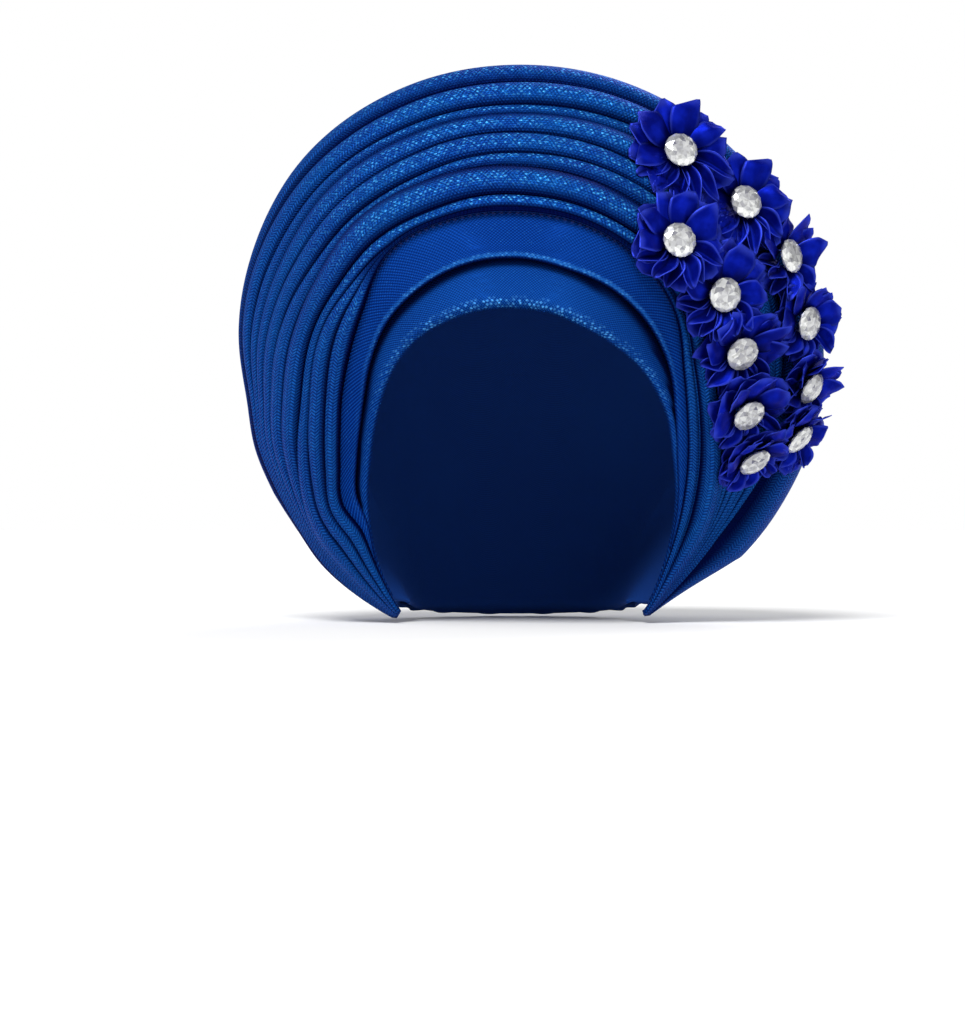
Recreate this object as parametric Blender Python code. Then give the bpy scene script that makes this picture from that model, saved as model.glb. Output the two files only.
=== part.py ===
"""A ready-made pleated gele head tie in blue cloth with satin flowers on one side.

Frame: +X to the right as seen from the front, +Y to the back, +Z up. The origin is the top of the hollow
inside the cap. Lengths below are millimetres and are turned into metres where meshes are made.

Everything that shows from the front is laid out in polar coordinates about a hub point on the middle line:
a direction in degrees, 0 to the right and 90 up, and a distance from the hub as it appears in the plane
of the opening. A point that lies farther back is moved out by the distance at which the sizes were read.
"""

import math

import bmesh
import bpy
import numpy as np

MM = 0.001

# Where the distances were read from
HUB_Z = -92.0
PLANE_Y = -75.0
SIGHT_X = -15.8
SIGHT_Z = -137.5
SIGHT_DISTANCE = 1400.0

# Cloth
CLOTH = 1.8
LAYER_GAP = 0.4

# One row for each direction, from the left tip over the crown to the right tip: how far out the edge of the
# opening, the rolled edge of the front band, the inner edge of the fan and the outline lie, and how far back
# the edge of the opening and the outline lie.
RIM_COLUMNS = ("direction", "opening", "band", "fan", "outline", "opening_y", "outline_y")
RIM = (
    (240.5, 101.6, 102.0, 102.4, 106.0, -7, -2),
    (230, 92.0, 92.6, 93.2, 107.1, -14, 3),
    (220, 82.3, 83.0, 86.9, 107.9, -22, 7),
    (210, 73.9, 79.5, 86.9, 107.9, -30, 10),
    (200, 66.8, 73.1, 81.1, 109.4, -37, 12),
    (190, 62.0, 68.5, 77.3, 112.1, -44, 13),
    (180, 58.5, 65.9, 75.6, 113.8, -50, 12),
    (165, 54.6, 64.9, 74.8, 121.8, -60, 8),
    (150, 50.4, 64.7, 76.9, 128.9, -72, 1),
    (132, 44.9, 63.1, 83.6, 136.3, -84, -9),
    (110, 40.7, 61.3, 81.9, 140.3, -94, -20),
    (90, 38.6, 59.6, 79.8, 141.3, -97, -25),
    (70, 38.9, 58.5, 79.2, 141.0, -96, -22),
    (50, 40.4, 60.5, 78.1, 138.8, -89, -12),
    (30, 45.8, 62.6, 75.2, 134.4, -76, 0),
    (10, 54.6, 64.3, 70.0, 128.9, -61, 8),
    (-5, 61.6, 65.6, 70.6, 122.6, -51, 12),
    (-20, 68.5, 70.2, 75.1, 115.9, -39, 13),
    (-35, 79.6, 80.4, 82.7, 111.3, -26, 10),
    (-48, 91.0, 91.6, 92.2, 107.9, -14, 5),
    (-60, 103.6, 103.9, 104.2, 106.0, -7, -2),
)

# One row for each crease of the fan, from the inside out: its share of the way from the fan's inner edge to
# the outline, in the directions of CREASE_DIRECTIONS.
CREASE_DIRECTIONS = (215, 185, 160, 130, 95, 60, 0, -35)
CREASES = {
    "tuck_low": (0.24, 0.175, 0.155, 0.01, 0.01, 0.01, 0.075, 0.13),
    "tuck_high": (0.46, 0.345, 0.264, 0.02, 0.02, 0.02, 0.090, 0.15),
    "roll_8": (0.70, 0.475, 0.350, 0.146, 0.122, 0.117, 0.226, 0.41),
    "roll_7": (0.78, 0.665, 0.500, 0.339, 0.307, 0.276, 0.33, 0.45),
    "roll_6": (0.83, 0.780, 0.590, 0.394, 0.400, 0.392, 0.40, 0.48),
    "roll_5": (0.87, 0.845, 0.722, 0.555, 0.535, 0.525, 0.52, 0.51),
    "roll_4": (0.91, 0.890, 0.800, 0.685, 0.672, 0.670, 0.62, 0.55),
    "roll_3": (0.94, 0.930, 0.867, 0.760, 0.741, 0.738, 0.68, 0.59),
    "roll_2": (0.97, 0.965, 0.940, 0.894, 0.888, 0.888, 0.80, 0.63),
}

# The fan. A roll stands out by a share of its width, less toward the tips; its lining by half as much.
# The last roll turns over to a lip behind the outline. The sweeps bend the fan's section backward.
ROLL_BULGE = 0.40
ROLL_BACK_BULGE = 0.42
LINING_BULGE = 0.5
FULL_FAN_WIDTH = 28.0
LEAST_FADE = 0.3
BACK_LIP_DROP = 9.0
BACK_LIP_DEPTH = 9.0
CROWN_SWEEP = 1.15
SIDE_SWEEP = 1.55
LEAST_SHARE = 0.01
FAN_OVERLAP_GAP = 2.0
FAN_ROWS = 36
WIDE_ROLL = 4
NARROW_ROLL = 3
TUCK_ROLL = 2

# Directions between which each layer runs, from its left end to its right end
FAN_ENDS = (240.5, -60)
WRAP_ENDS = (235, -55)
CAP_ENDS = (226, -48)
BAND_ENDS = (224, -38)

# The flat layers under the fan: how far they lean back for each millimetre out, on the crown and the sides
CAP_SLOPE_CROWN = 0.34
CAP_SLOPE_SIDE = 0.80
BAND_SLOPE_CROWN = 0.20
BAND_SLOPE_SIDE = 0.45
BAND_TUCK = 3.0
BAND_CLOTH_THICKNESS = 1.4
BAND_BEAD = 1.0
# Across the band from its lower edge up: place, and height as a share of the bead's
BAND_SECTION = ((0.0, 0.2), (0.05, 1.0), (0.16, 1.0), (0.24, 0.25), (0.6, 0.4), (1.0, 0.0))
BAND_ROWS = 32
CAP_ROWS = 26
CAP_COLUMNS = 10
WRAP_ROWS = 28
WRAP_COLUMNS = 10
WRAP_GATHER = 1.6
WRAP_GATHERS = 9
WRAP_TUCK = 3.0
WRAP_TUCK_GAP = 1.0

# Handles of the curves from the front edge to the nape, as shares of the distance: on the sides and the crown
CAP_LEAVE = (0.40, 0.62)
CAP_ARRIVE = (0.45, 0.78)
CAP_FLARE = 0.45
WRAP_LEAVE = (0.40, 0.40)
WRAP_ARRIVE = (0.45, 0.53)
WRAP_FLARE = 0.46
WRAP_SPREAD = (0.30, 0.22)

# The hem at the back: a half oval from side to side
NAPE_HALF_WIDTH = 55.0
NAPE_FULLNESS = 0.35
NAPE_FRONT_Y = 7.0
NAPE_BACK_Y = 92.0
NAPE_SIDE_Z = -180.0
NAPE_BACK_Z = -187.0
CAP_INSET = 6.0

# Flowers, one row each from the top down. Columns: x and z of the stone as seen from the front, how many
# degrees it turns to the right and tips down beyond the cloth it sits on, and its petals' reach.
FLOWERS = (
    (68.7, 14.5, -8, 4, 20.5),
    (96.5, -7.8, -6, 0, 20.0),
    (68.2, -24.1, -12, 2, 20.0),
    (115.7, -31.1, 4, 4, 20.0),
    (87.4, -47.6, -14, 6, 20.0),
    (123.3, -60.0, 4, 10, 20.0),
    (94.7, -73.2, -10, 16, 19.0),
    (124.1, -87.8, 4, 16, 19.0),
    (97.4, -99.4, -8, 20, 18.0),
    (121.1, -111.2, 6, 20, 15.5),
    (99.7, -119.3, -4, 22, 17.0),
)
PETALS = 10
HUB_RADIUS = 6.2
HUB_HEIGHT = 4.2
PETAL_THICKNESS = 1.3
PETAL_HALF_WIDTH = 3.7
PETAL_TIP_HALF_WIDTH = 2.6
LOW_PETAL_RISE = 3.0
HIGH_PETAL_RISE = 9.0
HIGH_PETAL_START = 0.8
# Along a petal from the hub out: share of its reach, half width, share of its rise
PETAL_SECTIONS = ((0.62, PETAL_HALF_WIDTH, 0.55), (1.0, PETAL_TIP_HALF_WIDTH, 1.0))
PETAL_FILL = 0.92
PETAL_ROOM = 3.0
PETAL_CLEARANCE = 1.5
NEIGHBOUR_GAP = 0.5
NEIGHBOUR_RANGE = 60.0
LEAST_FACING = 0.15
CLOTH_RANGE = 12.0

# Seating a flower: the gap under it, the patch whose normal it takes, and the tries to bring its stone in place
SEAT_GAP = 0.3
SEAT_TURN = 2.0
SEAT_SHARE = 0.08
SEAT_TRIES = 8
SEAT_STEP = 0.8
FLOWER_SIDE = (70, -50, 121)

# Stones
STONE_SIDES = 10
STONE_RADIUS = 7.0
TABLE_RADIUS = 4.0
BACK_RADIUS = 5.2
GIRDLE_LOW = 1.3
GIRDLE_HIGH = 1.9
STONE_HEIGHT = 3.8

# Base colour, roughness and metallic value of each material
BLUE_CLOTH = ("blue_cloth", (0.010, 0.065, 0.330), 0.45, 0.35)
BAND_CLOTH = ("band_cloth", (0.008, 0.050, 0.290), 0.50, 0.30)
BLUE_SATIN = ("blue_satin", (0.010, 0.012, 0.480), 0.30, 0.0)
CLEAR_STONE = ("clear_stone", (0.800, 0.820, 0.850), 0.08, 0.6)


def clear_scene():
    """Empties the scene of everything it opened with."""
    for obj in list(bpy.data.objects):
        bpy.data.objects.remove(obj, do_unlink=True)


def material(look):
    """The material named in a look, made once."""
    name, colour, roughness, metallic = look
    found = bpy.data.materials.get(name)
    if found:
        return found
    made = bpy.data.materials.new(name)
    made.use_nodes = True
    shader = made.node_tree.nodes["Principled BSDF"]
    shader.inputs["Base Color"].default_value = (*colour, 1.0)
    shader.inputs["Roughness"].default_value = roughness
    shader.inputs["Metallic"].default_value = metallic
    return made


def add_object(name, points, faces, look, sharp_angle=50.0):
    """One closed mesh object from points in millimetres, its faces turned outward."""
    mesh = bpy.data.meshes.new(name)
    mesh.from_pydata((np.asarray(points) * MM).tolist(), [], faces)
    solid = bmesh.new()
    solid.from_mesh(mesh)
    if solid.calc_volume(signed=True) < 0:
        bmesh.ops.reverse_faces(solid, faces=solid.faces)
    solid.to_mesh(mesh)
    solid.free()
    mesh.shade_smooth()
    mesh.set_sharp_from_angle(angle=math.radians(sharp_angle))
    mesh.materials.append(material(look))
    obj = bpy.data.objects.new(name, mesh)
    bpy.context.scene.collection.objects.link(obj)
    return obj


def curve_through(knots, values, at):
    """A smooth curve through values at rising knots, with the mean slope at each."""
    knots = np.asarray(knots, float)
    values = np.asarray(values, float)
    slopes = np.gradient(values, knots)
    at = np.clip(at, knots[0], knots[-1])
    i = np.clip(np.searchsorted(knots, at, side="right") - 1, 0, len(knots) - 2)
    span = knots[i + 1] - knots[i]
    t = (at - knots[i]) / span
    rise = values[i + 1] - values[i]
    bend_in = slopes[i] * span - rise
    bend_out = rise - slopes[i + 1] * span
    return values[i] + t * rise + t * (1 - t) * ((1 - t) * bend_in + t * bend_out)


def rim(column, direction):
    """One column of RIM read at any direction."""
    place = RIM_COLUMNS.index(column)
    rows = sorted(RIM)
    return curve_through([row[0] for row in rows], [row[place] for row in rows], direction)


def crease_share(name, direction):
    """A crease's share of the fan's width at any direction, held steady past the ends of its row."""
    rising = CREASE_DIRECTIONS[::-1]
    least = LEAST_SHARE * (1 + list(CREASES).index(name))
    return np.maximum(curve_through(rising, CREASES[name][::-1], direction), least)


def crownness(direction):
    """1 straight up, 0 at the sides and below."""
    return np.clip(np.sin(np.radians(direction)), 0, 1)


def mix(low, high, share):
    return low + (high - low) * share


def placed(direction, distance, y):
    """The point seen in that direction at that distance from the hub, when it lies at depth y."""
    angle = np.radians(direction)
    nearer = 1 + (y - PLANE_Y) / SIGHT_DISTANCE
    x = SIGHT_X + (distance * np.cos(angle) - SIGHT_X) * nearer
    z = SIGHT_Z + (HUB_Z + distance * np.sin(angle) - SIGHT_Z) * nearer
    return np.stack(np.broadcast_arrays(x, y, z), axis=-1)


def normals_of(grid):
    """Unit normals of a grid of points whose rows turn clockwise and whose columns run outward."""
    along = np.gradient(grid, axis=0)
    across = np.gradient(grid, axis=1)
    normal = np.cross(along, across)
    return normal / np.linalg.norm(normal, axis=-1, keepdims=True)


def wall(name, outer, inner, look):
    """A closed wall between an outer and an inner grid of the same size."""
    rows, columns = outer.shape[:2]
    number = np.arange(rows * columns).reshape(rows, columns)
    under = number + rows * columns
    faces = []
    for i in range(rows - 1):
        for j in range(columns - 1):
            corners = ((i, j), (i + 1, j), (i + 1, j + 1), (i, j + 1))
            faces.append([int(number[c]) for c in corners])
            faces.append([int(under[c]) for c in reversed(corners)])
    ring = [(i, 0) for i in range(rows)] + [(rows - 1, j) for j in range(1, columns)]
    ring += [(i, columns - 1) for i in range(rows - 2, -1, -1)]
    ring += [(0, j) for j in range(columns - 2, 0, -1)]
    for here, after in zip(ring, ring[1:] + ring[:1]):
        corners = (number[after], number[here], under[here], under[after])
        faces.append([int(c) for c in corners])
    points = np.concatenate([outer.reshape(-1, 3), inner.reshape(-1, 3)])
    return add_object(name, points, faces, look)


def roll_steps(segments):
    """Places across one roll and the roll's height there, as on a half circle."""
    turn = np.linspace(0, math.pi, segments + 1)
    return (1 - np.cos(turn)) / 2, np.sin(turn)


def fan_sections():
    """For each roll from the inside out: its two creases' names and its number of segments."""
    names = ["inner", *CREASES, "back_lip"]
    counts = {"inner": TUCK_ROLL, "tuck_low": TUCK_ROLL, "roll_6": NARROW_ROLL, "roll_3": NARROW_ROLL}
    return [(low, high, counts.get(low, WIDE_ROLL)) for low, high in zip(names, names[1:])]


def fan_front_y(direction):
    """Depth of the fan's inner edge: just in front of the band that it overlaps."""
    return band_y(direction, rim("fan", direction)) - CLOTH - FAN_OVERLAP_GAP


def fan_crease(name, direction):
    """Distance from the hub and depth of one crease."""
    inside, outside = rim("fan", direction), rim("outline", direction)
    near, far = fan_front_y(direction), rim("outline_y", direction)
    if name == "back_lip":
        return outside - BACK_LIP_DROP * fade(direction), far + BACK_LIP_DEPTH * fade(direction)
    share = 0.0 if name == "inner" else crease_share(name, direction)
    sweep = mix(SIDE_SWEEP, CROWN_SWEEP, crownness(direction))
    return mix(inside, outside, share), mix(near, far, share**sweep)


def fade(direction):
    """1 along the fan, less at the two tips, where its rolls flatten into one fold."""
    room = rim("outline", direction) - rim("fan", direction)
    return np.clip(room / FULL_FAN_WIDTH, LEAST_FADE, 1.0)


def fan_grids(directions):
    """Outer and inner grid of the fan's wall, with one row for each direction."""
    directions = np.asarray(directions, float)
    base, heights = [], []
    for low, high, segments in fan_sections():
        low_r, low_y = fan_crease(low, directions)
        high_r, high_y = fan_crease(high, directions)
        width = np.hypot(high_r - low_r, high_y - low_y)
        bulge = ROLL_BACK_BULGE if high == "back_lip" else ROLL_BULGE
        places, lift = roll_steps(segments)
        if low != "inner":
            places, lift = places[1:], lift[1:]
        for place, up in zip(places, lift):
            base.append(placed(directions, mix(low_r, high_r, place), mix(low_y, high_y, place)))
            heights.append(up * bulge * width * fade(directions))
    base = np.stack(base, axis=1)
    heights = np.stack(heights, axis=1)[..., None]
    normals = normals_of(base)
    return base + heights * normals, base + (LINING_BULGE * heights - CLOTH) * normals


def cap_y(direction, distance):
    """Depth of the brow band at a distance from the hub: it leans back from the edge of the opening."""
    slope = mix(CAP_SLOPE_SIDE, CAP_SLOPE_CROWN, crownness(direction))
    return rim("opening_y", direction) + slope * (distance - rim("opening", direction))


def band_y(direction, distance):
    """Depth of the front band: it lies over the brow band and leans back less."""
    slope = mix(BAND_SLOPE_SIDE, BAND_SLOPE_CROWN, crownness(direction))
    edge = rim("band", direction)
    return cap_y(direction, edge) - CLOTH - LAYER_GAP + slope * (distance - edge)


def nape(share, inset):
    """A point of the half oval hem, from the left side round the back to the right side."""
    turn = math.pi * share
    x = -(NAPE_HALF_WIDTH - inset) * np.cos(turn) * (1 + NAPE_FULLNESS * np.sin(turn) ** 2)
    y = NAPE_FRONT_Y + (NAPE_BACK_Y - inset - NAPE_FRONT_Y) * np.sin(turn)
    z = mix(NAPE_SIDE_Z, NAPE_BACK_Z, np.sin(turn))
    return np.stack(np.broadcast_arrays(x, y, z), axis=-1)


def swept(start, leave, finish, arrive, steps):
    """Cubic curves from start to finish with the given handles, one for each row of points."""
    t = np.linspace(0, 1, steps + 1)[None, :, None]
    a, b = start[:, None], (start + leave)[:, None]
    c, d = (finish + arrive)[:, None], finish[:, None]
    return a * (1 - t) ** 3 + 3 * b * t * (1 - t) ** 2 + 3 * c * t**2 * (1 - t) + d * t**3


def unit(vectors):
    return vectors / np.linalg.norm(vectors, axis=-1, keepdims=True)


def outward_from_hub(directions):
    """Unit vectors in the plane of the opening, one for each direction."""
    return placed(directions, 1.0, PLANE_Y) - placed(directions, 0.0, PLANE_Y)


def dome(directions, start, finish, spread, back, leave, arrive, flare, columns):
    """A grid of curves from a front edge over the top to the hem.

    Each leaves its start with the given outward spread and backward share, and reaches the hem from above,
    flared outward there. leave and arrive are its handles' lengths on the sides and the crown.
    """
    up = crownness(directions)[:, None]
    reach = np.linalg.norm(finish - start, axis=1, keepdims=True)
    off = unit(spread * outward_from_hub(directions) + back * np.array([[0.0, 1.0, 0.0]]))
    outward = unit((finish - np.array([[0, NAPE_FRONT_Y, NAPE_SIDE_Z]])) * np.array([[1, 1, 0]]))
    down = unit(np.array([[0, 0, 1.0]]) + flare * outward)
    return swept(start, off * reach * mix(*leave, up), finish, down * reach * mix(*arrive, up), columns)


def make_cap():
    """The inner cap: from the edge of the opening over the top to the hem at the back."""
    directions = np.linspace(*CAP_ENDS, CAP_ROWS + 1)
    start = placed(directions, rim("opening", directions), rim("opening_y", directions))
    finish = nape(np.linspace(0, 1, CAP_ROWS + 1), CAP_INSET)
    slope = mix(CAP_SLOPE_SIDE, CAP_SLOPE_CROWN, crownness(directions)[:, None])
    outer = dome(directions, start, finish, 1.0, slope, CAP_LEAVE, CAP_ARRIVE, CAP_FLARE, CAP_COLUMNS)
    return wall("head_cap", outer, outer - CLOTH * normals_of(outer), BAND_CLOTH)


def make_band():
    """The flat second band, with a bead along its lower edge."""
    directions = np.linspace(*BAND_ENDS, BAND_ROWS + 1)
    low = rim("band", directions)
    high = np.maximum(rim("fan", directions), low + 1.0) + BAND_TUCK
    base = []
    for place, _ in BAND_SECTION:
        distance = mix(low, high, place)
        base.append(placed(directions, distance, band_y(directions, distance)))
    base = np.stack(base, axis=1)
    normals = normals_of(base)
    lifts = BAND_BEAD * np.array([lift for _, lift in BAND_SECTION])[None, :, None]
    return wall("front_band", base + lifts * normals, base - BAND_CLOTH_THICKNESS * normals, BAND_CLOTH)


def make_fan():
    """The pleated cloth: two tucks and eight rolls between the band and the outline."""
    outer, inner = fan_grids(np.linspace(*FAN_ENDS, FAN_ROWS + 1))
    return wall("pleated_fan", outer, inner, BLUE_CLOTH)


def make_wrap():
    """The plain back: from inside the outermost roll down to the hem, in shallow gathers."""
    directions = np.linspace(*WRAP_ENDS, WRAP_ROWS + 1)
    share = np.linspace(0, 1, WRAP_ROWS + 1)
    lip_r, lip_y = fan_crease("back_lip", directions)
    start = placed(directions, lip_r - CLOTH - WRAP_TUCK_GAP, lip_y - WRAP_TUCK)
    spread = mix(*WRAP_SPREAD, crownness(directions)[:, None])
    base = dome(
        directions, start, nape(share, 0.0), spread, 1.0, WRAP_LEAVE, WRAP_ARRIVE, WRAP_FLARE, WRAP_COLUMNS
    )
    normals = normals_of(base)
    down = np.linspace(0, 1, WRAP_COLUMNS + 1)[None, :]
    wave = np.cos(2 * math.pi * WRAP_GATHERS * share)[:, None] * down * np.sin(math.pi * share)[:, None]
    outer = base + WRAP_GATHER * wave[..., None] * normals
    inner = outer - CLOTH * normals
    return wall("back_wrap", outer, inner, BLUE_CLOTH)


def fan_seat(x, z):
    """The point of the fan's surface seen at x, z in the plane of the opening, and the normal there."""
    direction = math.degrees(math.atan2(z - HUB_Z, x))
    distance = math.hypot(x, z - HUB_Z)
    near_by = direction + np.linspace(-SEAT_TURN, SEAT_TURN, 5)
    share = (distance - rim("fan", near_by)) / (rim("outline", near_by) - rim("fan", near_by))
    sweep = mix(SIDE_SWEEP, CROWN_SWEEP, crownness(near_by))
    steps = share[:, None] + np.linspace(-SEAT_SHARE, SEAT_SHARE, 5)[None, :]
    radius = mix(rim("fan", near_by)[:, None], rim("outline", near_by)[:, None], steps)
    depth = mix(fan_front_y(near_by)[:, None], rim("outline_y", near_by)[:, None], steps ** sweep[:, None])
    patch = placed(near_by[::-1, None], radius[::-1], depth[::-1])
    return patch[2, 2], normals_of(patch)[2, 2]


def seen_at(point):
    """Where a point appears in the plane of the opening: the reverse of placed, as x and z."""
    nearer = 1 + (point[1] - PLANE_Y) / SIGHT_DISTANCE
    return np.array([SIGHT_X + (point[0] - SIGHT_X) / nearer, SIGHT_Z + (point[2] - SIGHT_Z) / nearer])


def flower_frames():
    """For each flower: its centre, its axis and its reach, seated on the rolls under it."""
    outer, _ = fan_grids(np.linspace(*FLOWER_SIDE))
    cloth = outer.reshape(-1, 3)
    frames = []
    for x, z, turn, tip, reach in FLOWERS:
        place = np.array([x, z])
        for _ in range(SEAT_TRIES):
            seat, normal = fan_seat(*place)
            axis = turned(normal, turn, tip)
            offset = cloth - seat
            height = offset @ axis
            aside = np.linalg.norm(offset - height[:, None] * axis, axis=1)
            lift = height[aside < HUB_RADIUS + 1.0].max() + SEAT_GAP
            centre = seat + lift * axis
            stone = seen_at(centre + (HUB_HEIGHT + STONE_HEIGHT) * axis)
            place = place + SEAT_STEP * (np.array([x, z]) - stone)
        frames.append((centre, axis, reach))
    return frames, cloth


def turned(normal, turn, tip):
    """A direction turned to the right about the upright axis, then tipped down, in degrees."""
    across = math.atan2(normal[0], -normal[1]) + math.radians(turn)
    above = math.asin(normal[2]) - math.radians(tip)
    return np.array([math.sin(across) * math.cos(above), -math.cos(across) * math.cos(above), math.sin(above)])


def axes_across(axis):
    """Two directions square to an axis: the first level, the second upward."""
    level = np.cross(axis, [0, 0, 1.0])
    level = -level / np.linalg.norm(level)
    return level, np.cross(axis, level)


def petal_room(centre, axis, toward, rise, half_width, others):
    """How far from a flower's axis a petal may reach before it meets the middle plane to a neighbour."""
    room = math.inf
    for other in others:
        apart = other - centre
        distance = np.linalg.norm(apart)
        apart = apart / distance
        facing = toward @ apart
        if distance < NEIGHBOUR_RANGE and facing > LEAST_FACING:
            aslant = math.sqrt(1 - min(facing, 1) ** 2)
            free = distance / 2 - NEIGHBOUR_GAP - half_width * aslant - rise * (axis @ apart)
            room = min(room, free / facing)
    return room


def make_flower(name, frame, others, cloth):
    """A flower: a round hub whose sides run out into petals, low and high in turn, clear of the cloth."""
    centre, axis, reach = frame
    level, upward = axes_across(axis)
    offset = cloth - centre
    height = offset @ axis
    near = np.linalg.norm(offset, axis=1) < reach + CLOTH_RANGE
    offset, height = offset[near], height[near]

    def point(angle, distance, up, aside=0.0):
        out = math.cos(angle) * level + math.sin(angle) * upward
        side = -math.sin(angle) * level + math.cos(angle) * upward
        return centre + distance * out + aside * side + up * axis

    def cloth_height(where):
        flat = offset - height[:, None] * axis
        here = where - centre
        here = here - (here @ axis) * axis
        close = np.linalg.norm(flat - here, axis=1) < PETAL_HALF_WIDTH + NEIGHBOUR_GAP + PETAL_CLEARANCE
        return height[close].max() if close.any() else -math.inf

    points, faces = [], []
    step = 2 * math.pi / PETALS
    for up in (0.0, HUB_HEIGHT):
        points += [point((k - 0.5) * step, HUB_RADIUS, up) for k in range(PETALS)]
    faces.append(list(range(PETALS))[::-1])
    faces.append(list(range(PETALS, 2 * PETALS)))
    for k in range(PETALS):
        after = (k + 1) % PETALS
        section = [k, after, PETALS + after, PETALS + k]
        angle = k * step
        rise = HIGH_PETAL_RISE if k % 2 else LOW_PETAL_RISE
        toward = math.cos(angle) * level + math.sin(angle) * upward
        for share, half_width, climb in PETAL_SECTIONS:
            up = climb * rise + (HIGH_PETAL_START if k % 2 else 0.0)
            room = petal_room(centre, axis, toward, up, half_width, others)
            distance = max(min(share * reach, room), STONE_RADIUS + PETAL_ROOM * share)
            half_width = min(half_width, PETAL_FILL * distance * math.tan(step / 2))
            up = max(up, cloth_height(point(angle, distance, 0)) + PETAL_CLEARANCE)
            first = len(points)
            points += [
                point(angle, distance, up, -half_width),
                point(angle, distance, up, half_width),
                point(angle, distance, up + PETAL_THICKNESS, half_width),
                point(angle, distance, up + PETAL_THICKNESS, -half_width),
            ]
            grown = [first, first + 1, first + 2, first + 3]
            for a in range(4):
                b = (a + 1) % 4
                faces.append([section[a], grown[a], grown[b], section[b]][::-1])
            section = grown
        faces.append(section)
    return add_object(name, points, faces, BLUE_SATIN, sharp_angle=30.0)


def make_stone(name, frame):
    """A round stone with a flat back, a straight girdle, crown facets and a table."""
    centre, axis, _ = frame
    level, upward = axes_across(axis)
    base = HUB_HEIGHT + SEAT_GAP
    rings = (
        (BACK_RADIUS, base),
        (STONE_RADIUS, base + GIRDLE_LOW),
        (STONE_RADIUS, base + GIRDLE_HIGH),
        (TABLE_RADIUS, base + STONE_HEIGHT),
    )
    points, faces = [], []
    for radius, up in rings:
        for k in range(STONE_SIDES):
            angle = 2 * math.pi * k / STONE_SIDES
            points.append(centre + up * axis + radius * (math.cos(angle) * level + math.sin(angle) * upward))
    for ring in range(len(rings) - 1):
        for k in range(STONE_SIDES):
            after = (k + 1) % STONE_SIDES
            low, high = ring * STONE_SIDES, (ring + 1) * STONE_SIDES
            faces.append([low + k, low + after, high + after, high + k])
    faces.append(list(range(STONE_SIDES))[::-1])
    faces.append([3 * STONE_SIDES + k for k in range(STONE_SIDES)])
    return add_object(name, points, faces, CLEAR_STONE, sharp_angle=10.0)


def make_flowers():
    """All the flowers, each with its stone."""
    frames, cloth = flower_frames()
    centres = [frame[0] for frame in frames]
    for number, frame in enumerate(frames, start=1):
        others = centres[: number - 1] + centres[number:]
        make_flower(f"flower_{number:02d}", frame, others, cloth)
        make_stone(f"stone_{number:02d}", frame)


def main():
    clear_scene()
    make_cap()
    make_band()
    make_fan()
    make_wrap()
    make_flowers()


main()
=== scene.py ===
"""A tied gele head tie: pleated blue cloth, satin ribbon flowers and clear stones, dressed over its solids.

+X is to the right as seen from the front, +Y to the back, +Z up, and the origin is the top of the space
inside the cap. Lengths are millimetres until a mesh is made of them.

What shows from the front is laid out about a hub point: a direction in degrees, 0 to the right and 90 up,
and a distance from the hub as it appears in the plane of the opening.
"""

import math

import bpy
import numpy as np
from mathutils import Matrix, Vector


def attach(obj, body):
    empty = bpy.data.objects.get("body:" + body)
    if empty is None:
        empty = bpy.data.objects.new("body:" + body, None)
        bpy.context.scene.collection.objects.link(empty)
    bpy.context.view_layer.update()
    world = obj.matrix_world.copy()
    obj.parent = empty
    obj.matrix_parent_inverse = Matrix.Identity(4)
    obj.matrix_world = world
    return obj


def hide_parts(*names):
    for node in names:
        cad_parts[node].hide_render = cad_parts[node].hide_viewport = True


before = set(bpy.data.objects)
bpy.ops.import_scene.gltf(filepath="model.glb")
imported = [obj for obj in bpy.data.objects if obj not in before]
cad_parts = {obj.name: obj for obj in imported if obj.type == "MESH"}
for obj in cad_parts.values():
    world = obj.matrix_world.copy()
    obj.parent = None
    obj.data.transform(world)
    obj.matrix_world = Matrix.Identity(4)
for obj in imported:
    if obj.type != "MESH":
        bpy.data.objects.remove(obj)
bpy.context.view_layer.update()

MM = 0.001

# Where the distances were read from
HUB_Z = -92.0
PLANE_Y = -75.0
SIGHT_X = -15.8
SIGHT_Z = -137.5
SIGHT_DISTANCE = 1400.0
FIELD_HEIGHT = 427.1
SENSOR = 36.0

# The cloth, and the room between two layers of it
CLOTH = 1.8
LAYER_GAP = 0.4

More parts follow.
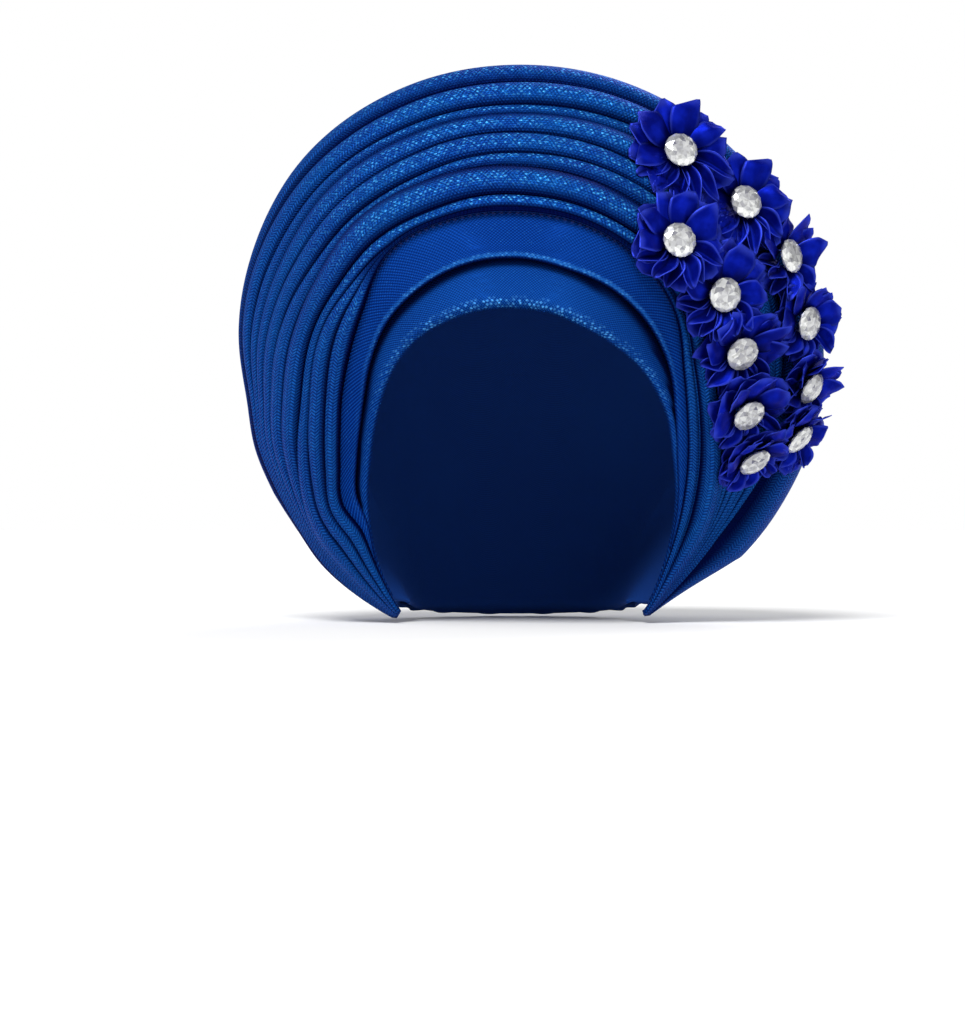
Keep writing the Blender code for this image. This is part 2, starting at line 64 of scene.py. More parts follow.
# The rim in each direction: distances from the hub of its edges, and the depths of the first and the last
RIM_COLUMNS = ("direction", "opening", "band", "fan", "outline", "opening_y", "outline_y")
RIM = (
    (240.5, 101.6, 102.0, 102.4, 106.0, -7, -2),
    (230, 92.0, 92.6, 93.2, 107.1, -14, 3),
    (220, 82.3, 83.0, 86.9, 107.9, -22, 7),
    (210, 73.9, 79.5, 86.9, 107.9, -30, 10),
    (200, 66.8, 73.1, 81.1, 109.4, -37, 12),
    (190, 62.0, 68.5, 77.3, 112.1, -44, 13),
    (180, 58.5, 65.9, 75.6, 113.8, -50, 12),
    (165, 54.6, 64.9, 74.8, 121.8, -60, 8),
    (150, 50.4, 64.7, 76.9, 128.9, -72, 1),
    (132, 44.9, 63.1, 83.6, 136.3, -84, -9),
    (110, 40.7, 61.3, 81.9, 140.3, -94, -20),
    (90, 38.6, 59.6, 79.8, 141.3, -97, -25),
    (70, 38.9, 58.5, 79.2, 141.0, -96, -22),
    (50, 40.4, 60.5, 78.1, 138.8, -89, -12),
    (30, 45.8, 62.6, 75.2, 134.4, -76, 0),
    (10, 54.6, 64.3, 70.0, 128.9, -61, 8),
    (-5, 61.6, 65.6, 70.6, 122.6, -51, 12),
    (-20, 68.5, 70.2, 75.1, 115.9, -39, 13),
    (-35, 79.6, 80.4, 82.7, 111.3, -26, 10),
    (-48, 91.0, 91.6, 92.2, 107.9, -14, 5),
    (-60, 103.6, 103.9, 104.2, 106.0, -7, -2),
)
# Each crease's share of the way from the fan's inner edge to the outline, in each direction
CREASE_DIRECTIONS = (215, 185, 160, 130, 95, 60, 0, -35)
CREASES = {
    "tuck_low": (0.24, 0.155, 0.130, 0.01, 0.01, 0.01, 0.075, 0.13),
    "tuck_high": (0.46, 0.320, 0.250, 0.02, 0.02, 0.02, 0.090, 0.15),
    "roll_8": (0.70, 0.430, 0.320, 0.105, 0.095, 0.090, 0.226, 0.41),
    "roll_7": (0.78, 0.600, 0.460, 0.308, 0.272, 0.248, 0.33, 0.45),
    "roll_6": (0.83, 0.730, 0.575, 0.364, 0.368, 0.370, 0.40, 0.48),
    "roll_5": (0.87, 0.820, 0.680, 0.500, 0.503, 0.485, 0.52, 0.51),
    "roll_4": (0.91, 0.880, 0.768, 0.640, 0.628, 0.632, 0.62, 0.55),
    "roll_3": (0.94, 0.925, 0.843, 0.722, 0.702, 0.715, 0.68, 0.59),
    "roll_2": (0.97, 0.965, 0.930, 0.850, 0.840, 0.845, 0.80, 0.63),
}
LEAST_SHARE = 0.01

# Directions of the two ends of each cloth, left and right
FAN_ENDS = (240.5, -60)
WRAP_ENDS = (235, -55)
CAP_ENDS = (237, -57)
BAND_ENDS = (229, -45)

# The rolls of the pleated cloth
ROLL_BULGE = 0.42
ROLL_FULLNESS = 0.75
ROLL_SWELL = 0.05
CREASE_DIP = 1.3
CREASE_DIP_SHARE = 0.14
LINING_BULGE = 0.5
FULL_FAN_WIDTH = 28.0
LEAST_FADE = 0.3
BACK_LIP_DROP = 9.0
BACK_LIP_DEPTH = 9.0
CROWN_SWEEP = 1.15
SIDE_SWEEP = 1.55
FAN_OVERLAP_GAP = 2.0
FAN_ROWS = 300
ROLL_COLUMNS = {"inner": 8, "tuck_low": 8, "roll_6": 11, "roll_3": 11}
WIDE_ROLL_COLUMNS = 15

# The cap, the band and the back
CAP_SLOPE_CROWN = 0.34
CAP_SLOPE_SIDE = 0.80
BAND_SLOPE_CROWN = 0.20
BAND_SLOPE_SIDE = 0.45
BAND_TUCK = 3.0
BAND_THICKNESS = 1.4
BAND_BEAD = 1.3
BAND_BEAD_PLACE = 0.11
BAND_BEAD_WIDTH = 0.09
BAND_GRID = (240, 28)
BAND_PACKING = 1.6
BAND_SHADE_START = 0.86
CAP_GRID = (240, 70)
WRAP_GRID = (260, 64)
WRAP_GATHER = 1.6
WRAP_GATHERS = 9
WRAP_TUCK = 3.0
WRAP_TUCK_GAP = 1.0
EDGE_ROUND = 1.2
CAP_ROLL = 1.3
LEAST_BROW = 4.0
# Strength of the painted shadow where the front band covers the brow band
COVERED_SHADE = 0.8
SIDE_CROWNING = 1.5
CROWN_CROWNING = 0.35

# Painted shade in the creases, and where the weave is measured
NARROW_ROLL = 3.5
NARROW_SHADE = 0.8
UNDERSIDE_SHADE = 0.85
CREASE_FALL = 1.3
CREASE_SHARPNESS = 0.75
# Rolls that hang over the roll below, and the strength of the painted shadow they cast into that crease
OVERHUNG_SHADOW = {"roll_7": 1.0, "roll_4": 0.75}
OVERHUNG_SHARPNESS = 0.33
ROLL_STEP = 37.6
BROW_COLUMN = 3
BAND_COLUMN = 12
SEAM_PLACE = 0.94
SEAM_WIDTH = 0.028
HEM_WIDTH = 7.0
HEM_STITCH = 0.6
HEM_STEP = 1.6
HEM_STEP_WIDTH = 0.7

# How the curves of the cap and the back leave their start and arrive at the hem, at the sides and at the top
CAP_LEAVE = (0.40, 0.62)
CAP_ARRIVE = (0.45, 0.78)
CAP_FLARE = 0.45
CAP_END_RISE = 0.25
END_RANGE = 16.0
WRAP_LEAVE = (0.40, 0.40)
WRAP_ARRIVE = (0.45, 0.53)
WRAP_FLARE = 0.46
WRAP_SPREAD = (0.30, 0.22)

# The hem at the nape
NAPE_HALF_WIDTH = 55.0
NAPE_FULLNESS = 0.35
NAPE_FRONT_Y = 7.0
NAPE_BACK_Y = 92.0
NAPE_SIDE_Z = -180.0
NAPE_BACK_Z = -187.0
CAP_INSET = 6.0

# Flowers, from the top down: how far the petals reach, and how far each stone is turned to the front and
# down
FLOWER_REACH = (23.6, 22.0, 20.8, 18.7, 21.0, 17.4, 20.0, 15.8, 19.0, 16.6, 17.5)
TURN_FRONT = (0.55, 0.60, 0.45, 0.10, 0.25, 0.15, 0.25, 0.0, 0.10, 0.0, 0.0)
TIP_DOWN = (0.10, 0.0, 0.0, 0.0, 0.12, 0.06, 0.16, 0.12, 0.20, 0.12, 0.16)
FLOWER_SEED = 7
OPEN_PETALS = 8
CURLED_PETALS = 6
PETAL_GRID = (19, 11)
PETAL_START = 4.2
OPEN_HALF_WIDTH = 7.3
CURLED_HALF_WIDTH = 3.0
PETAL_OVERLAP = 5.0
PETAL_CURL = 1.8
PETAL_WAVE = 0.8
WIDE_FROM = 0.55
CLOSING_FROM = 0.70
STONE_ROOM = 8.4
FRONT_ROOM = 5.5
LEAST_FACING = 0.15
STRAIGHT_AT = 0.7
NEIGHBOUR_RANGE = 60.0
FAR = 1e3
LOW_PETALS = 8
LOW_OVERLAP = 8.0
CLUSTER_RANGE = 50.0
CLOTH_RANGE = 12.0
FOOTING = 1.8
INWARD_REACH = 0.15
OUTER_LIFT = 6.5
PETAL_THICKNESS = 0.35
PETAL_CLEARANCE = 0.8
CURLED_MIDDLE = math.radians(262)
CURLED_SPREAD = math.radians(125)

# What each petal's measures are drawn from, and how high the petals stand in turn
REACHES = (0.95, 1.06)
PETAL_RISES, RISE_CHANCE = (2.0, 4.5), (-0.6, 1.2)
PETAL_STEPS = (0.6, 1.4)
CORNERS = (-0.95, 0.95)
OPEN_WIDTHS, OPEN_FOLDS, OPEN_TWISTS = (0.70, 1.05), (0.8, 2.0), (0.12, 0.38)
OPEN_POINTS = (0.88, 0.76, 0.45)
CURLED_WIDTHS, CURLED_FOLDS, CURLED_TWISTS = (0.9, 1.15), (2.0, 3.0), (0.3, 0.7)
CURLED_BENDS = (1.0, 1.9)
LOW_WIDTHS, LOW_TWISTS = (0.85, 1.1), (-0.15, 0.15)
# LOW_SHADE is the least painted shade on the low petals, which lie under the others
LOW_POINT, LOW_FOLD, LOW_RISE, LOW_SHADE = 0.7, 0.6, 0.8, 0.30

# Stones: sizes, and what makes the painted reflection on a facet, a grey
STONE_BASE = 4.5
STONE_GROWTH = 1.06
STONE_SIDES = 12
STONE_RING = 6.2
STONE_RINGS = ((3.0, 3.8), (4.5, 3.5), (5.9, 2.8), (7.0, 1.9), (7.0, 1.2), (5.0, 0.0))
STONE_RING_WIDTH = 0.8
STONE_GREY, STONE_TILT, STONE_SPOKES, STONE_RING_SHADE, STONE_CHANCE = 0.46, 0.040, 0.16, 0.28, 0.26

# The floor's rings and sides, the strength of the surroundings, and each light: its name, where it comes
# from, its spread in degrees and its strength
FLOOR_RINGS = (0.0, 400.0, 1500.0, 6000.0)
FLOOR_SIDES = 64
AROUND_STRENGTH = 0.30
LIGHTS = (
    ("key", (-0.30, -1.0, 1.12), 25.0, 3.1),
    ("fill", (0.9, -1.0, 0.5), 70.0, 0.7),
    ("back", (0.5, 1.0, 0.8), 40.0, 1.2),
    ("left", (-1.0, 0.3, 0.5), 50.0, 0.7),
)


def curve_through(knots, values, at):
    """A smooth curve through values at rising knots, with the mean slope at each."""
    knots = np.asarray(knots, float)
    values = np.asarray(values, float)
    slopes = np.gradient(values, knots)
    at = np.clip(at, knots[0], knots[-1])
    i = np.clip(np.searchsorted(knots, at, side="right") - 1, 0, len(knots) - 2)
    span = knots[i + 1] - knots[i]
    t = (at - knots[i]) / span
    rise = values[i + 1] - values[i]
    bend_in = slopes[i] * span - rise
    bend_out = rise - slopes[i + 1] * span
    return values[i] + t * rise + t * (1 - t) * ((1 - t) * bend_in + t * bend_out)


def rim(column, direction):
    """One column of RIM read at any direction."""
    place = RIM_COLUMNS.index(column)
    rows = sorted(RIM)
    return curve_through([row[0] for row in rows], [row[place] for row in rows], direction)


def crease_share(name, direction):
    """A crease's share of the fan's width at any direction."""
    least = LEAST_SHARE * (1 + list(CREASES).index(name))
    return np.maximum(curve_through(CREASE_DIRECTIONS[::-1], CREASES[name][::-1], direction), least)


def crownness(direction):
    """1 straight up, 0 at the sides and below."""
    return np.clip(np.sin(np.radians(direction)), 0, 1)


def mix(low, high, share):
    """The value that share of the way from low to high."""
    return low + (high - low) * share


def bell(value, middle, width):
    """1 at the middle, falling to both sides as a bell curve of that width."""
    return np.exp(-(((value - middle) / width) ** 2))


def placed(direction, distance, y):
    """The point seen in that direction at that distance from the hub, when it lies at depth y."""
    angle = np.radians(direction)
    nearer = 1 + (y - PLANE_Y) / SIGHT_DISTANCE
    x = SIGHT_X + (distance * np.cos(angle) - SIGHT_X) * nearer
    z = SIGHT_Z + (HUB_Z + distance * np.sin(angle) - SIGHT_Z) * nearer
    return np.stack(np.broadcast_arrays(x, y, z), axis=-1)


def unit(vectors):
    """The same directions at length one."""
    return vectors / np.linalg.norm(vectors, axis=-1, keepdims=True)


def normals_of(grid):
    """Unit normals of a grid whose rows turn clockwise and whose columns run outward."""
    return unit(np.cross(np.gradient(grid, axis=0), np.gradient(grid, axis=1)))


def lengths_along(grid, axis):
    """Distance travelled along one axis of a grid of points, from its first row or column."""
    steps = np.linalg.norm(np.diff(grid, axis=axis), axis=-1)
    pad = [(0, 0), (0, 0)]
    pad[axis] = (1, 0)
    return np.pad(np.cumsum(steps, axis=axis), pad)


def quads(number):
    """The four-sided faces of a grid of point numbers, on the side that normals_of() points to."""
    corners = (number[:-1, :-1], number[1:, :-1], number[1:, 1:], number[:-1, 1:])
    return np.stack(corners, axis=-1).reshape(-1, 4)


def linked(name, data):
    """A new object in the scene."""
    made = bpy.data.objects.new(name, data)
    bpy.context.scene.collection.objects.link(made)
    return made


def faced_mesh(name, points, faces, finishes):
    """A mesh from points in millimetres and faces, with its finishes."""
    mesh = bpy.data.meshes.new(name)
    mesh.from_pydata((points * MM).tolist(), [], faces.tolist())
    for finish in finishes:
        mesh.materials.append(finish)
    return mesh


def mesh_piece(name, points, faces, finishes, which=None, weave=None, smooth=True, **marks):
    """One object from points in millimetres and faces that all have as many corners.

    which gives each face's finish, weave each face corner's place on the cloth in millimetres, and each
    mark a number from 0 to 1 for every point, such as the painted shade that darkens it in a crease.
    """
    mesh = faced_mesh(name, points, faces, finishes)
    if which is not None:
        mesh.polygons.foreach_set("material_index", which.astype(np.int32))
    mesh.polygons.foreach_set("use_smooth", np.full(len(faces), smooth))
    if weave is not None:
        layer = mesh.uv_layers.new(name="weave")
        layer.data.foreach_set("uv", weave.astype(np.float32).ravel())
    for mark, values in marks.items():
        layer = mesh.attributes.new(mark, "FLOAT", "POINT")
        layer.data.foreach_set("value", values.astype(np.float32).ravel())
    mesh.update()
    mesh.validate()
    piece = linked(name, mesh)
    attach(piece, "root")
    return piece


def plain_weave(grid, measured=None):
    """Places on the cloth for a whole grid: along its rows from the middle, and across from its first edge.

    Where a column is given, the length along that one holds for all, so that ribs fan out from the hub.
    """
    along = lengths_along(grid, 0)
    along = along - along[len(grid) // 2]
    if measured is not None:
        along = np.repeat(along[:, [measured]], along.shape[1], axis=1)
    across = lengths_along(grid, 1)
    return along[:, :-1], along[:, 1:], across[:, :-1], across[:, 1:]


def cloth_wall(name, outer, inner, finishes, weave, **marks):
    """A sheet with two faces and a rounded rim.

    Its middle surface is halfway between the two grids. Near a border the half thickness shrinks as the
    height of a quarter circle, so that the faces meet there in one line of shared points.
    """
    rows, columns = outer.shape[:2]
    middle, half = (outer + inner) / 2, (outer - inner) / 2
    along, across = lengths_along(middle, 0), lengths_along(middle, 1)
    from_ends = np.minimum(along, along[-1:] - along)
    inset = np.minimum(from_ends, np.minimum(across, across[:, -1:] - across))
    share = 1 - np.clip(inset / EDGE_ROUND, 0, 1)
    half = half * np.sqrt(1 - share**2)[..., None]
    number = np.arange(rows * columns).reshape(rows, columns)
    under = number + rows * columns
    under[[0, -1], :] = number[[0, -1], :]
    under[:, [0, -1]] = number[:, [0, -1]]
    faces = np.concatenate([quads(number), quads(under)[:, ::-1]])
    low_u, high_u, low_v, high_v = weave
    u_front = np.stack([low_u[:-1], low_u[1:], high_u[1:], high_u[:-1]], axis=-1)
    v_front = np.stack([low_v[:-1], low_v[1:], high_v[1:], high_v[:-1]], axis=-1)
    uv = np.stack([u_front, v_front], axis=-1).reshape(-1, 4, 2)
    uv = np.concatenate([uv, uv[:, ::-1]])
    which = np.repeat([0, len(finishes) - 1], len(faces) // 2)
    points = np.concatenate([(middle + half).reshape(-1, 3), (middle - half).reshape(-1, 3)])
    used, faces = np.unique(faces, return_inverse=True)
    marks = {mark: np.tile(values.ravel(), 2)[used] for mark, values in marks.items()}
    return mesh_piece(name, points[used], faces.reshape(-1, 4), finishes, which, uv, **marks)


# The shapes that the layers share with the solids


def cap_y(direction, distance):
    """Depth of the brow band at a distance from the hub."""
    slope = mix(CAP_SLOPE_SIDE, CAP_SLOPE_CROWN, crownness(direction))
    return rim("opening_y", direction) + slope * (distance - rim("opening", direction))


def band_y(direction, distance):
    """Depth of the front band, which lies over the brow band."""
    slope = mix(BAND_SLOPE_SIDE, BAND_SLOPE_CROWN, crownness(direction))
    edge = rim("band", direction)
    return cap_y(direction, edge) - CLOTH - LAYER_GAP + slope * (distance - edge)


def fade(direction):
    """1 along the fan, less at the two tips."""
    room = rim("outline", direction) - rim("fan", direction)
    return np.clip(room / FULL_FAN_WIDTH, LEAST_FADE, 1.0)


def fan_crease(name, direction):
    """Distance from the hub and depth of one crease."""
    inside, outside = rim("fan", direction), rim("outline", direction)
    near = band_y(direction, inside) - CLOTH - FAN_OVERLAP_GAP
    far = rim("outline_y", direction)
    if name == "back_lip":
        return outside - BACK_LIP_DROP * fade(direction), far + BACK_LIP_DEPTH * fade(direction)
    share = 0.0 if name == "inner" else crease_share(name, direction)
    sweep = mix(SIDE_SWEEP, CROWN_SWEEP, crownness(direction))
    return mix(inside, outside, share), mix(near, far, share**sweep)


def nape(share, inset):
    """A point of the half oval hem, from the left side round the back to the right side."""
    turn = math.pi * share
    x = -(NAPE_HALF_WIDTH - inset) * np.cos(turn) * (1 + NAPE_FULLNESS * np.sin(turn) ** 2)
    y = NAPE_FRONT_Y + (NAPE_BACK_Y - inset - NAPE_FRONT_Y) * np.sin(turn)
    z = mix(NAPE_SIDE_Z, NAPE_BACK_Z, np.sin(turn))
    return np.stack(np.broadcast_arrays(x, y, z), axis=-1)


def dome(directions, start, finish, spread, back, leave, arrive, flare, columns, end_rise=1.0):
    """Cubic curves from a front edge over the top to the hem, one for each direction.

    Each leaves its start with the given outward spread and backward share, and reaches the hem from above,
    flared outward there. Near the two ends it rises less, by the sine of the angle from the end.
    """
    up = crownness(directions)[:, None]
    reach = np.linalg.norm(finish - start, axis=1, keepdims=True)
    outward = placed(directions, 1.0, PLANE_Y) - placed(directions, 0.0, PLANE_Y)
    off = unit(spread * outward + back * np.array([[0.0, 1.0, 0.0]])) * reach * mix(*leave, up)
    aside = unit((finish - np.array([[0, NAPE_FRONT_Y, NAPE_SIDE_Z]])) * np.array([[1, 1, 0]]))
    from_end = np.minimum(directions[0] - directions, directions - directions[-1])[:, None]
    ease = mix(end_rise, 1.0, np.sin(math.pi / 2 * np.clip(from_end / END_RANGE, 0, 1)))
    down = unit(np.array([[0, 0, 1.0]]) + flare * aside) * reach * mix(*arrive, up) * ease
    t = np.linspace(0, 1, columns)[None, :, None]
    a, b = start[:, None], (start + off)[:, None]
    c, d = (finish + down)[:, None], finish[:, None]
    return a * (1 - t) ** 3 + 3 * b * t * (1 - t) ** 2 + 3 * c * t**2 * (1 - t) + d * t**3


# Finishes


def joined(operation, turned=False):
    """An operator of Wire that adds one Math node, with its two values turned about where asked."""

    def operator(wire, other):
        return wire.finish.math(operation, *((other, wire) if turned else (wire, other)))

    return operator


class Wire:
    """A socket's value. Arithmetic on it adds Math nodes."""

    def __init__(self, finish, socket):
        self.finish = finish
        self.socket = socket

    __add__ = __radd__ = joined("ADD")
    __mul__ = __rmul__ = joined("MULTIPLY")
    __sub__ = joined("SUBTRACT")
    __rsub__ = joined("SUBTRACT", turned=True)
    __truediv__ = joined("DIVIDE")


class Finish:
    """A material and its nodes. Sockets that stay the same all over are given by name when it is made."""

    def __init__(self, name, **fixed):
        self.material = bpy.data.materials.new(name)
        self.material.use_nodes = True
        self.tree = self.material.node_tree
        self.shader = self.tree.nodes["Principled BSDF"]
        for socket, value in fixed.items():
            self.shader.inputs[socket.replace("_", " ")].default_value = value

    def node(self, kind, settings=None, sockets=None, output=0):
        """Adds one node, sets its settings and then its sockets, and gives its output."""
        made = self.tree.nodes.new("ShaderNode" + kind)
        for setting, value in (settings or {}).items():
            setattr(made, setting, value)
        for socket, value in (sockets or {}).items():
            if isinstance(value, Wire):
                self.tree.links.new(value.socket, made.inputs[socket])
            else:
                made.inputs[socket].default_value = value
        return Wire(self, made.outputs[output])

    def math(self, operation, *values):
        """One Math node."""
        return self.node("Math", {"operation": operation}, dict(enumerate(values)))

    def whole(self, value):
        """The whole number below a value."""
        return self.math("FLOOR", value)

    def rest(self, value):
        """What a value has beyond its whole number."""
        return self.math("FRACT", value)

    def size(self, value):
        """A value without its sign."""
        return self.math("ABSOLUTE", value)

    def distance(self, aside, ahead, squeeze):
        """How far a place is from the middle, when what is ahead counts less by a factor on its square."""
        return self.math("SQRT", aside * aside + ahead * ahead * squeeze)

    def wave(self, value, period=1.0):
        """The sine of a value, from -1 to 1, once round for each period."""
        return self.math("SINE", value * (2 * math.pi / period))

    def ribs(self, value, period=1.0):
        """The same wave from 0 to 1."""
        return self.wave(value, period) * 0.5 + 0.5

    def smooth(self, value, low, high):
        """0 from low on, 1 from high on, smooth between. Low may be the greater of the two."""
        sockets = {"Value": value, "From Min": low, "From Max": high}
        return self.node("MapRange", {"interpolation_type": "SMOOTHSTEP"}, sockets)

    def blend(self, share, low, high):
        """Two colours mixed by a share."""
        return self.node("Mix", {"data_type": "RGBA"}, {0: share, 6: low, 7: high}, output=2)

    def layers(self, ground, *over):
        """Colours laid over a ground in turn, each by its share."""
        for share, colour in over:
            ground = self.blend(share, ground, colour)
        return ground

    def noise(self, scale, detail=2.0):
        """Soft noise over the object's own coordinates, about 0 to 1."""
        place = self.node("TexCoord", output="Object")
        return self.node("TexNoise", None, {"Vector": place, "Scale": scale, "Detail": detail})

    def mark(self, name):
        """A number from 0 to 1 that the mesh carries."""
        return self.node("Attribute", {"attribute_name": name}, output="Fac")

    def cloth_place(self):
        """Where a point lies on the cloth, in millimetres along and across."""
        place = self.node("UVMap", {"uv_map": "weave"})
        along = self.node("SeparateXYZ", None, {0: place})
        return along, Wire(self, along.socket.node.outputs[1])

    def chance(self, a, b):
        """A number from 0 to 1 that is the same all over the cell with whole coordinates a and b."""
        cell = self.node("CombineXYZ", None, {0: a, 1: b})
        return self.node("TexWhiteNoise", {"noise_dimensions": "2D"}, {"Vector": cell})

    def flecks(self, along, column, width, length, reach):
        """Glitter with one fleck to a cell, the cells of each column half a cell past those of the last.

        Gives how near a point is to its cell's fleck, which strays from the middle by chance, and the
        fleck's own brightness, by chance too.
        """
        number = self.whole(column)
        row = along / length + 0.5 * number
        stray = self.chance(number, self.whole(row))
        aside = (self.rest(column) - FLECK_MARGIN - FLECK_STRAY * stray) * width
        ahead = (self.rest(row) - (FLECK_MARGIN + FLECK_STRAY) + FLECK_STRAY * stray) * length
        near = self.smooth(self.distance(aside, ahead, FLECK_SQUEEZE), reach, FLECK_CORE)
        return near, self.rest(stray * FLECK_SHUFFLE)

    def bump(self, height, distance, strength):
        """Relief of that height, its depth in millimetres."""
        return self.node("Bump", None, {"Height": height, "Distance": distance * MM, "Strength": strength})

    def feed(self, **sockets):
        """Joins values to the shader's sockets, and gives the material."""
        for socket, wire in sockets.items():
            self.tree.links.new(wire.socket, self.shader.inputs[socket.replace("_", " ")])
        return self.material


def tone(red, green, blue):
    """An opaque colour, in linear light."""
    return (red, green, blue, 1.0)


EDGE_TINT = tone(0.12, 0.36, 1.0)
CLOTH_GLOSS = 0.06

FLECK_MARGIN = 0.3
FLECK_STRAY = 0.4
FLECK_SQUEEZE = 0.6
FLECK_CORE = 0.15
FLECK_SHUFFLE = 7

# The braided knit: sizes in millimetres, and deep and bright tones at the side and over the crown
BRAID_WIDTH = 2.35
STITCH_LENGTH = 1.45
BEAD_WIDTH, BEAD_LENGTH, BEAD_SQUEEZE = 1.25, 1.75, 0.7
LOOP_WIDTH, LOOP_LENGTH, LOOP_REACH = 1.55, 2.5, 0.70
KNIT_CROWN = (130.0, 35.0)
KNIT_BEADED = 0.65
KNIT_DEEP = tone(0.0008, 0.011, 0.100), tone(0.0010, 0.014, 0.130)
KNIT_BRIGHT = tone(0.0070, 0.080, 0.375), tone(0.0070, 0.086, 0.420)
KNIT_PATCH = tone(0.002, 0.070, 0.270)
KNIT_GLINT = tone(0.012, 0.190, 0.620)
KNIT_LOOP = tone(0.080, 0.480, 1.0)
# Painted shade laid over the knit in its creases
KNIT_CREASE_SHADE = tone(0.0001, 0.0006, 0.030)

# The ribbed cloths
BAND_TONES = tone(0.0008, 0.014, 0.130), tone(0.004, 0.062, 0.360)
BROW_TONES = tone(0.0010, 0.018, 0.140), tone(0.006, 0.082, 0.400)
BACK_TONES = tone(0.0008, 0.012, 0.100), tone(0.003, 0.055, 0.300)
RIB_EASE = 0.0010
THREAD_TO_RIB = 0.8
RIB_SIDE = (25.0, 110.0)
RIB_CROWN = (120.0, 40.0)
RIB_APART = (4.0, 30.0)
DOT_LENGTH, DOT_WIDTH = 1.5, 1.3
SPOT_WIDTH, SPOT_LENGTH, SPOT_REACH = 1.5, 2.4, 0.85
OFF_RIM = (0.4, 1.3)
BEAD_EDGE = (3.0, 1.3)
RUNNING_STITCH = 2.8
# Painted highlight on the rolled bead, strongest over the crown
RIB_BEAD_HIGHLIGHT = tone(0.020, 0.180, 0.640)
# Painted shade right at the first edge
RIB_RIM_SHADE = tone(0.0004, 0.006, 0.070)
RIB_GLINT = tone(0.040, 0.260, 0.700)
RIB_SPOT = tone(0.085, 0.400, 0.950)
# Painted shade where other cloth covers the ribbed cloth and in its folds
RIB_CREASE_SHADE = tone(0.0002, 0.0008, 0.030)
RIB_STITCH = tone(0.050, 0.055, 0.170)

# The lining, the ribbon and the stone
LINING_WEAVE = 0.9
# The cloth's blue darkened by painted shade, for the inside of the cloth
SHADED_LINING_TONES = tone(0.003, 0.020, 0.120), tone(0.006, 0.045, 0.240)
LINING_PATCH = tone(0.008, 0.054, 0.260)
SATIN_THREAD = 0.35
SATIN_TONES = tone(0.0006, 0.002, 0.160), tone(0.003, 0.010, 0.350)
SATIN_SHEEN = tone(0.006, 0.030, 0.450)
# Painted highlight along the petals' cut edges
SATIN_EDGE_HIGHLIGHT = tone(0.045, 0.075, 0.620)
# Painted shade in the petals' folds
SATIN_FOLD_SHADE = tone(0.0001, 0.0003, 0.050)
# Painted reflections of the facets, from dark grey to nearly white
STONE_REFLECTION_TONES = tone(0.12, 0.12, 0.17), tone(0.90, 0.91, 0.88)
STONE_CLOUD = tone(0.28, 0.28, 0.27)
FLOOR_TONES = tone(0.87, 0.87, 0.87), tone(0.90, 0.90, 0.90)


def braided_cloth():
    """Metallic knit in braided columns: slanting stitches in pairs that form a V, some of which glint.

    Over the crown rounder stitches in offset rows mostly take their place, strewn with loops of glitter.
    """
    made = Finish("braided_cloth", Metallic=0.45, Specular_IOR_Level=CLOTH_GLOSS, Specular_Tint=EDGE_TINT)
    along, across = made.cloth_place()
    crown = made.smooth(made.size(along), *KNIT_CROWN)
    hollow = made.mark("hollow")
    # Glints and glitter fade out where the painted shade lies
    open_part = made.smooth(hollow, 0.45, 0.0)

    column = across / BRAID_WIDTH
    row = along / STITCH_LENGTH + made.size(made.rest(column / 2) * 2 - 1)
    stroke = made.ribs(row + made.noise(110.0) * 0.9)
    in_column = made.size(made.rest(column) - 0.5) * 2
    strand = stroke * (1 - 0.6 * made.smooth(in_column, 0.55, 1.0))
    fine_column = across / BEAD_WIDTH + 0.5
    aside = (made.rest(fine_column) - 0.5) * BEAD_WIDTH
    ahead = (made.rest(along / BEAD_LENGTH + 0.5 * made.whole(fine_column)) - 0.5) * BEAD_LENGTH
    bead = made.smooth(made.distance(aside, ahead, BEAD_SQUEEZE), 0.75, 0.1)
    stitch = strand + (bead - strand) * (crown * KNIT_BEADED)

    near, bright = made.flecks(along, across / LOOP_WIDTH + 0.5, LOOP_WIDTH, LOOP_LENGTH, LOOP_REACH)
    loop = near * made.smooth(bright, 0.15, 1.0) * (0.04 + 0.80 * crown) * open_part
    stroke_chance = made.chance(made.whole(column), made.whole(row))
    glint = stitch * made.smooth(stroke_chance, 0.6, 1.0) * (0.25 + 0.5 * crown) * open_part

    shaded = made.layers(
        made.blend(stitch, made.blend(crown, *KNIT_DEEP), made.blend(crown, *KNIT_BRIGHT)),
        (made.smooth(made.noise(22.0), 0.35, 0.7) * 0.3, KNIT_PATCH),
        (glint, KNIT_GLINT),
        (loop, KNIT_LOOP),
        # painted shade in the creases
        (made.smooth(hollow, 0.04, 0.80) * 0.97, KNIT_CREASE_SHADE),
    )
    normal = made.bump(stitch + 0.8 * loop, 0.42, 0.8)
    return made.feed(Base_Color=shaded, Roughness=0.46 - 0.16 * loop, Normal=normal)


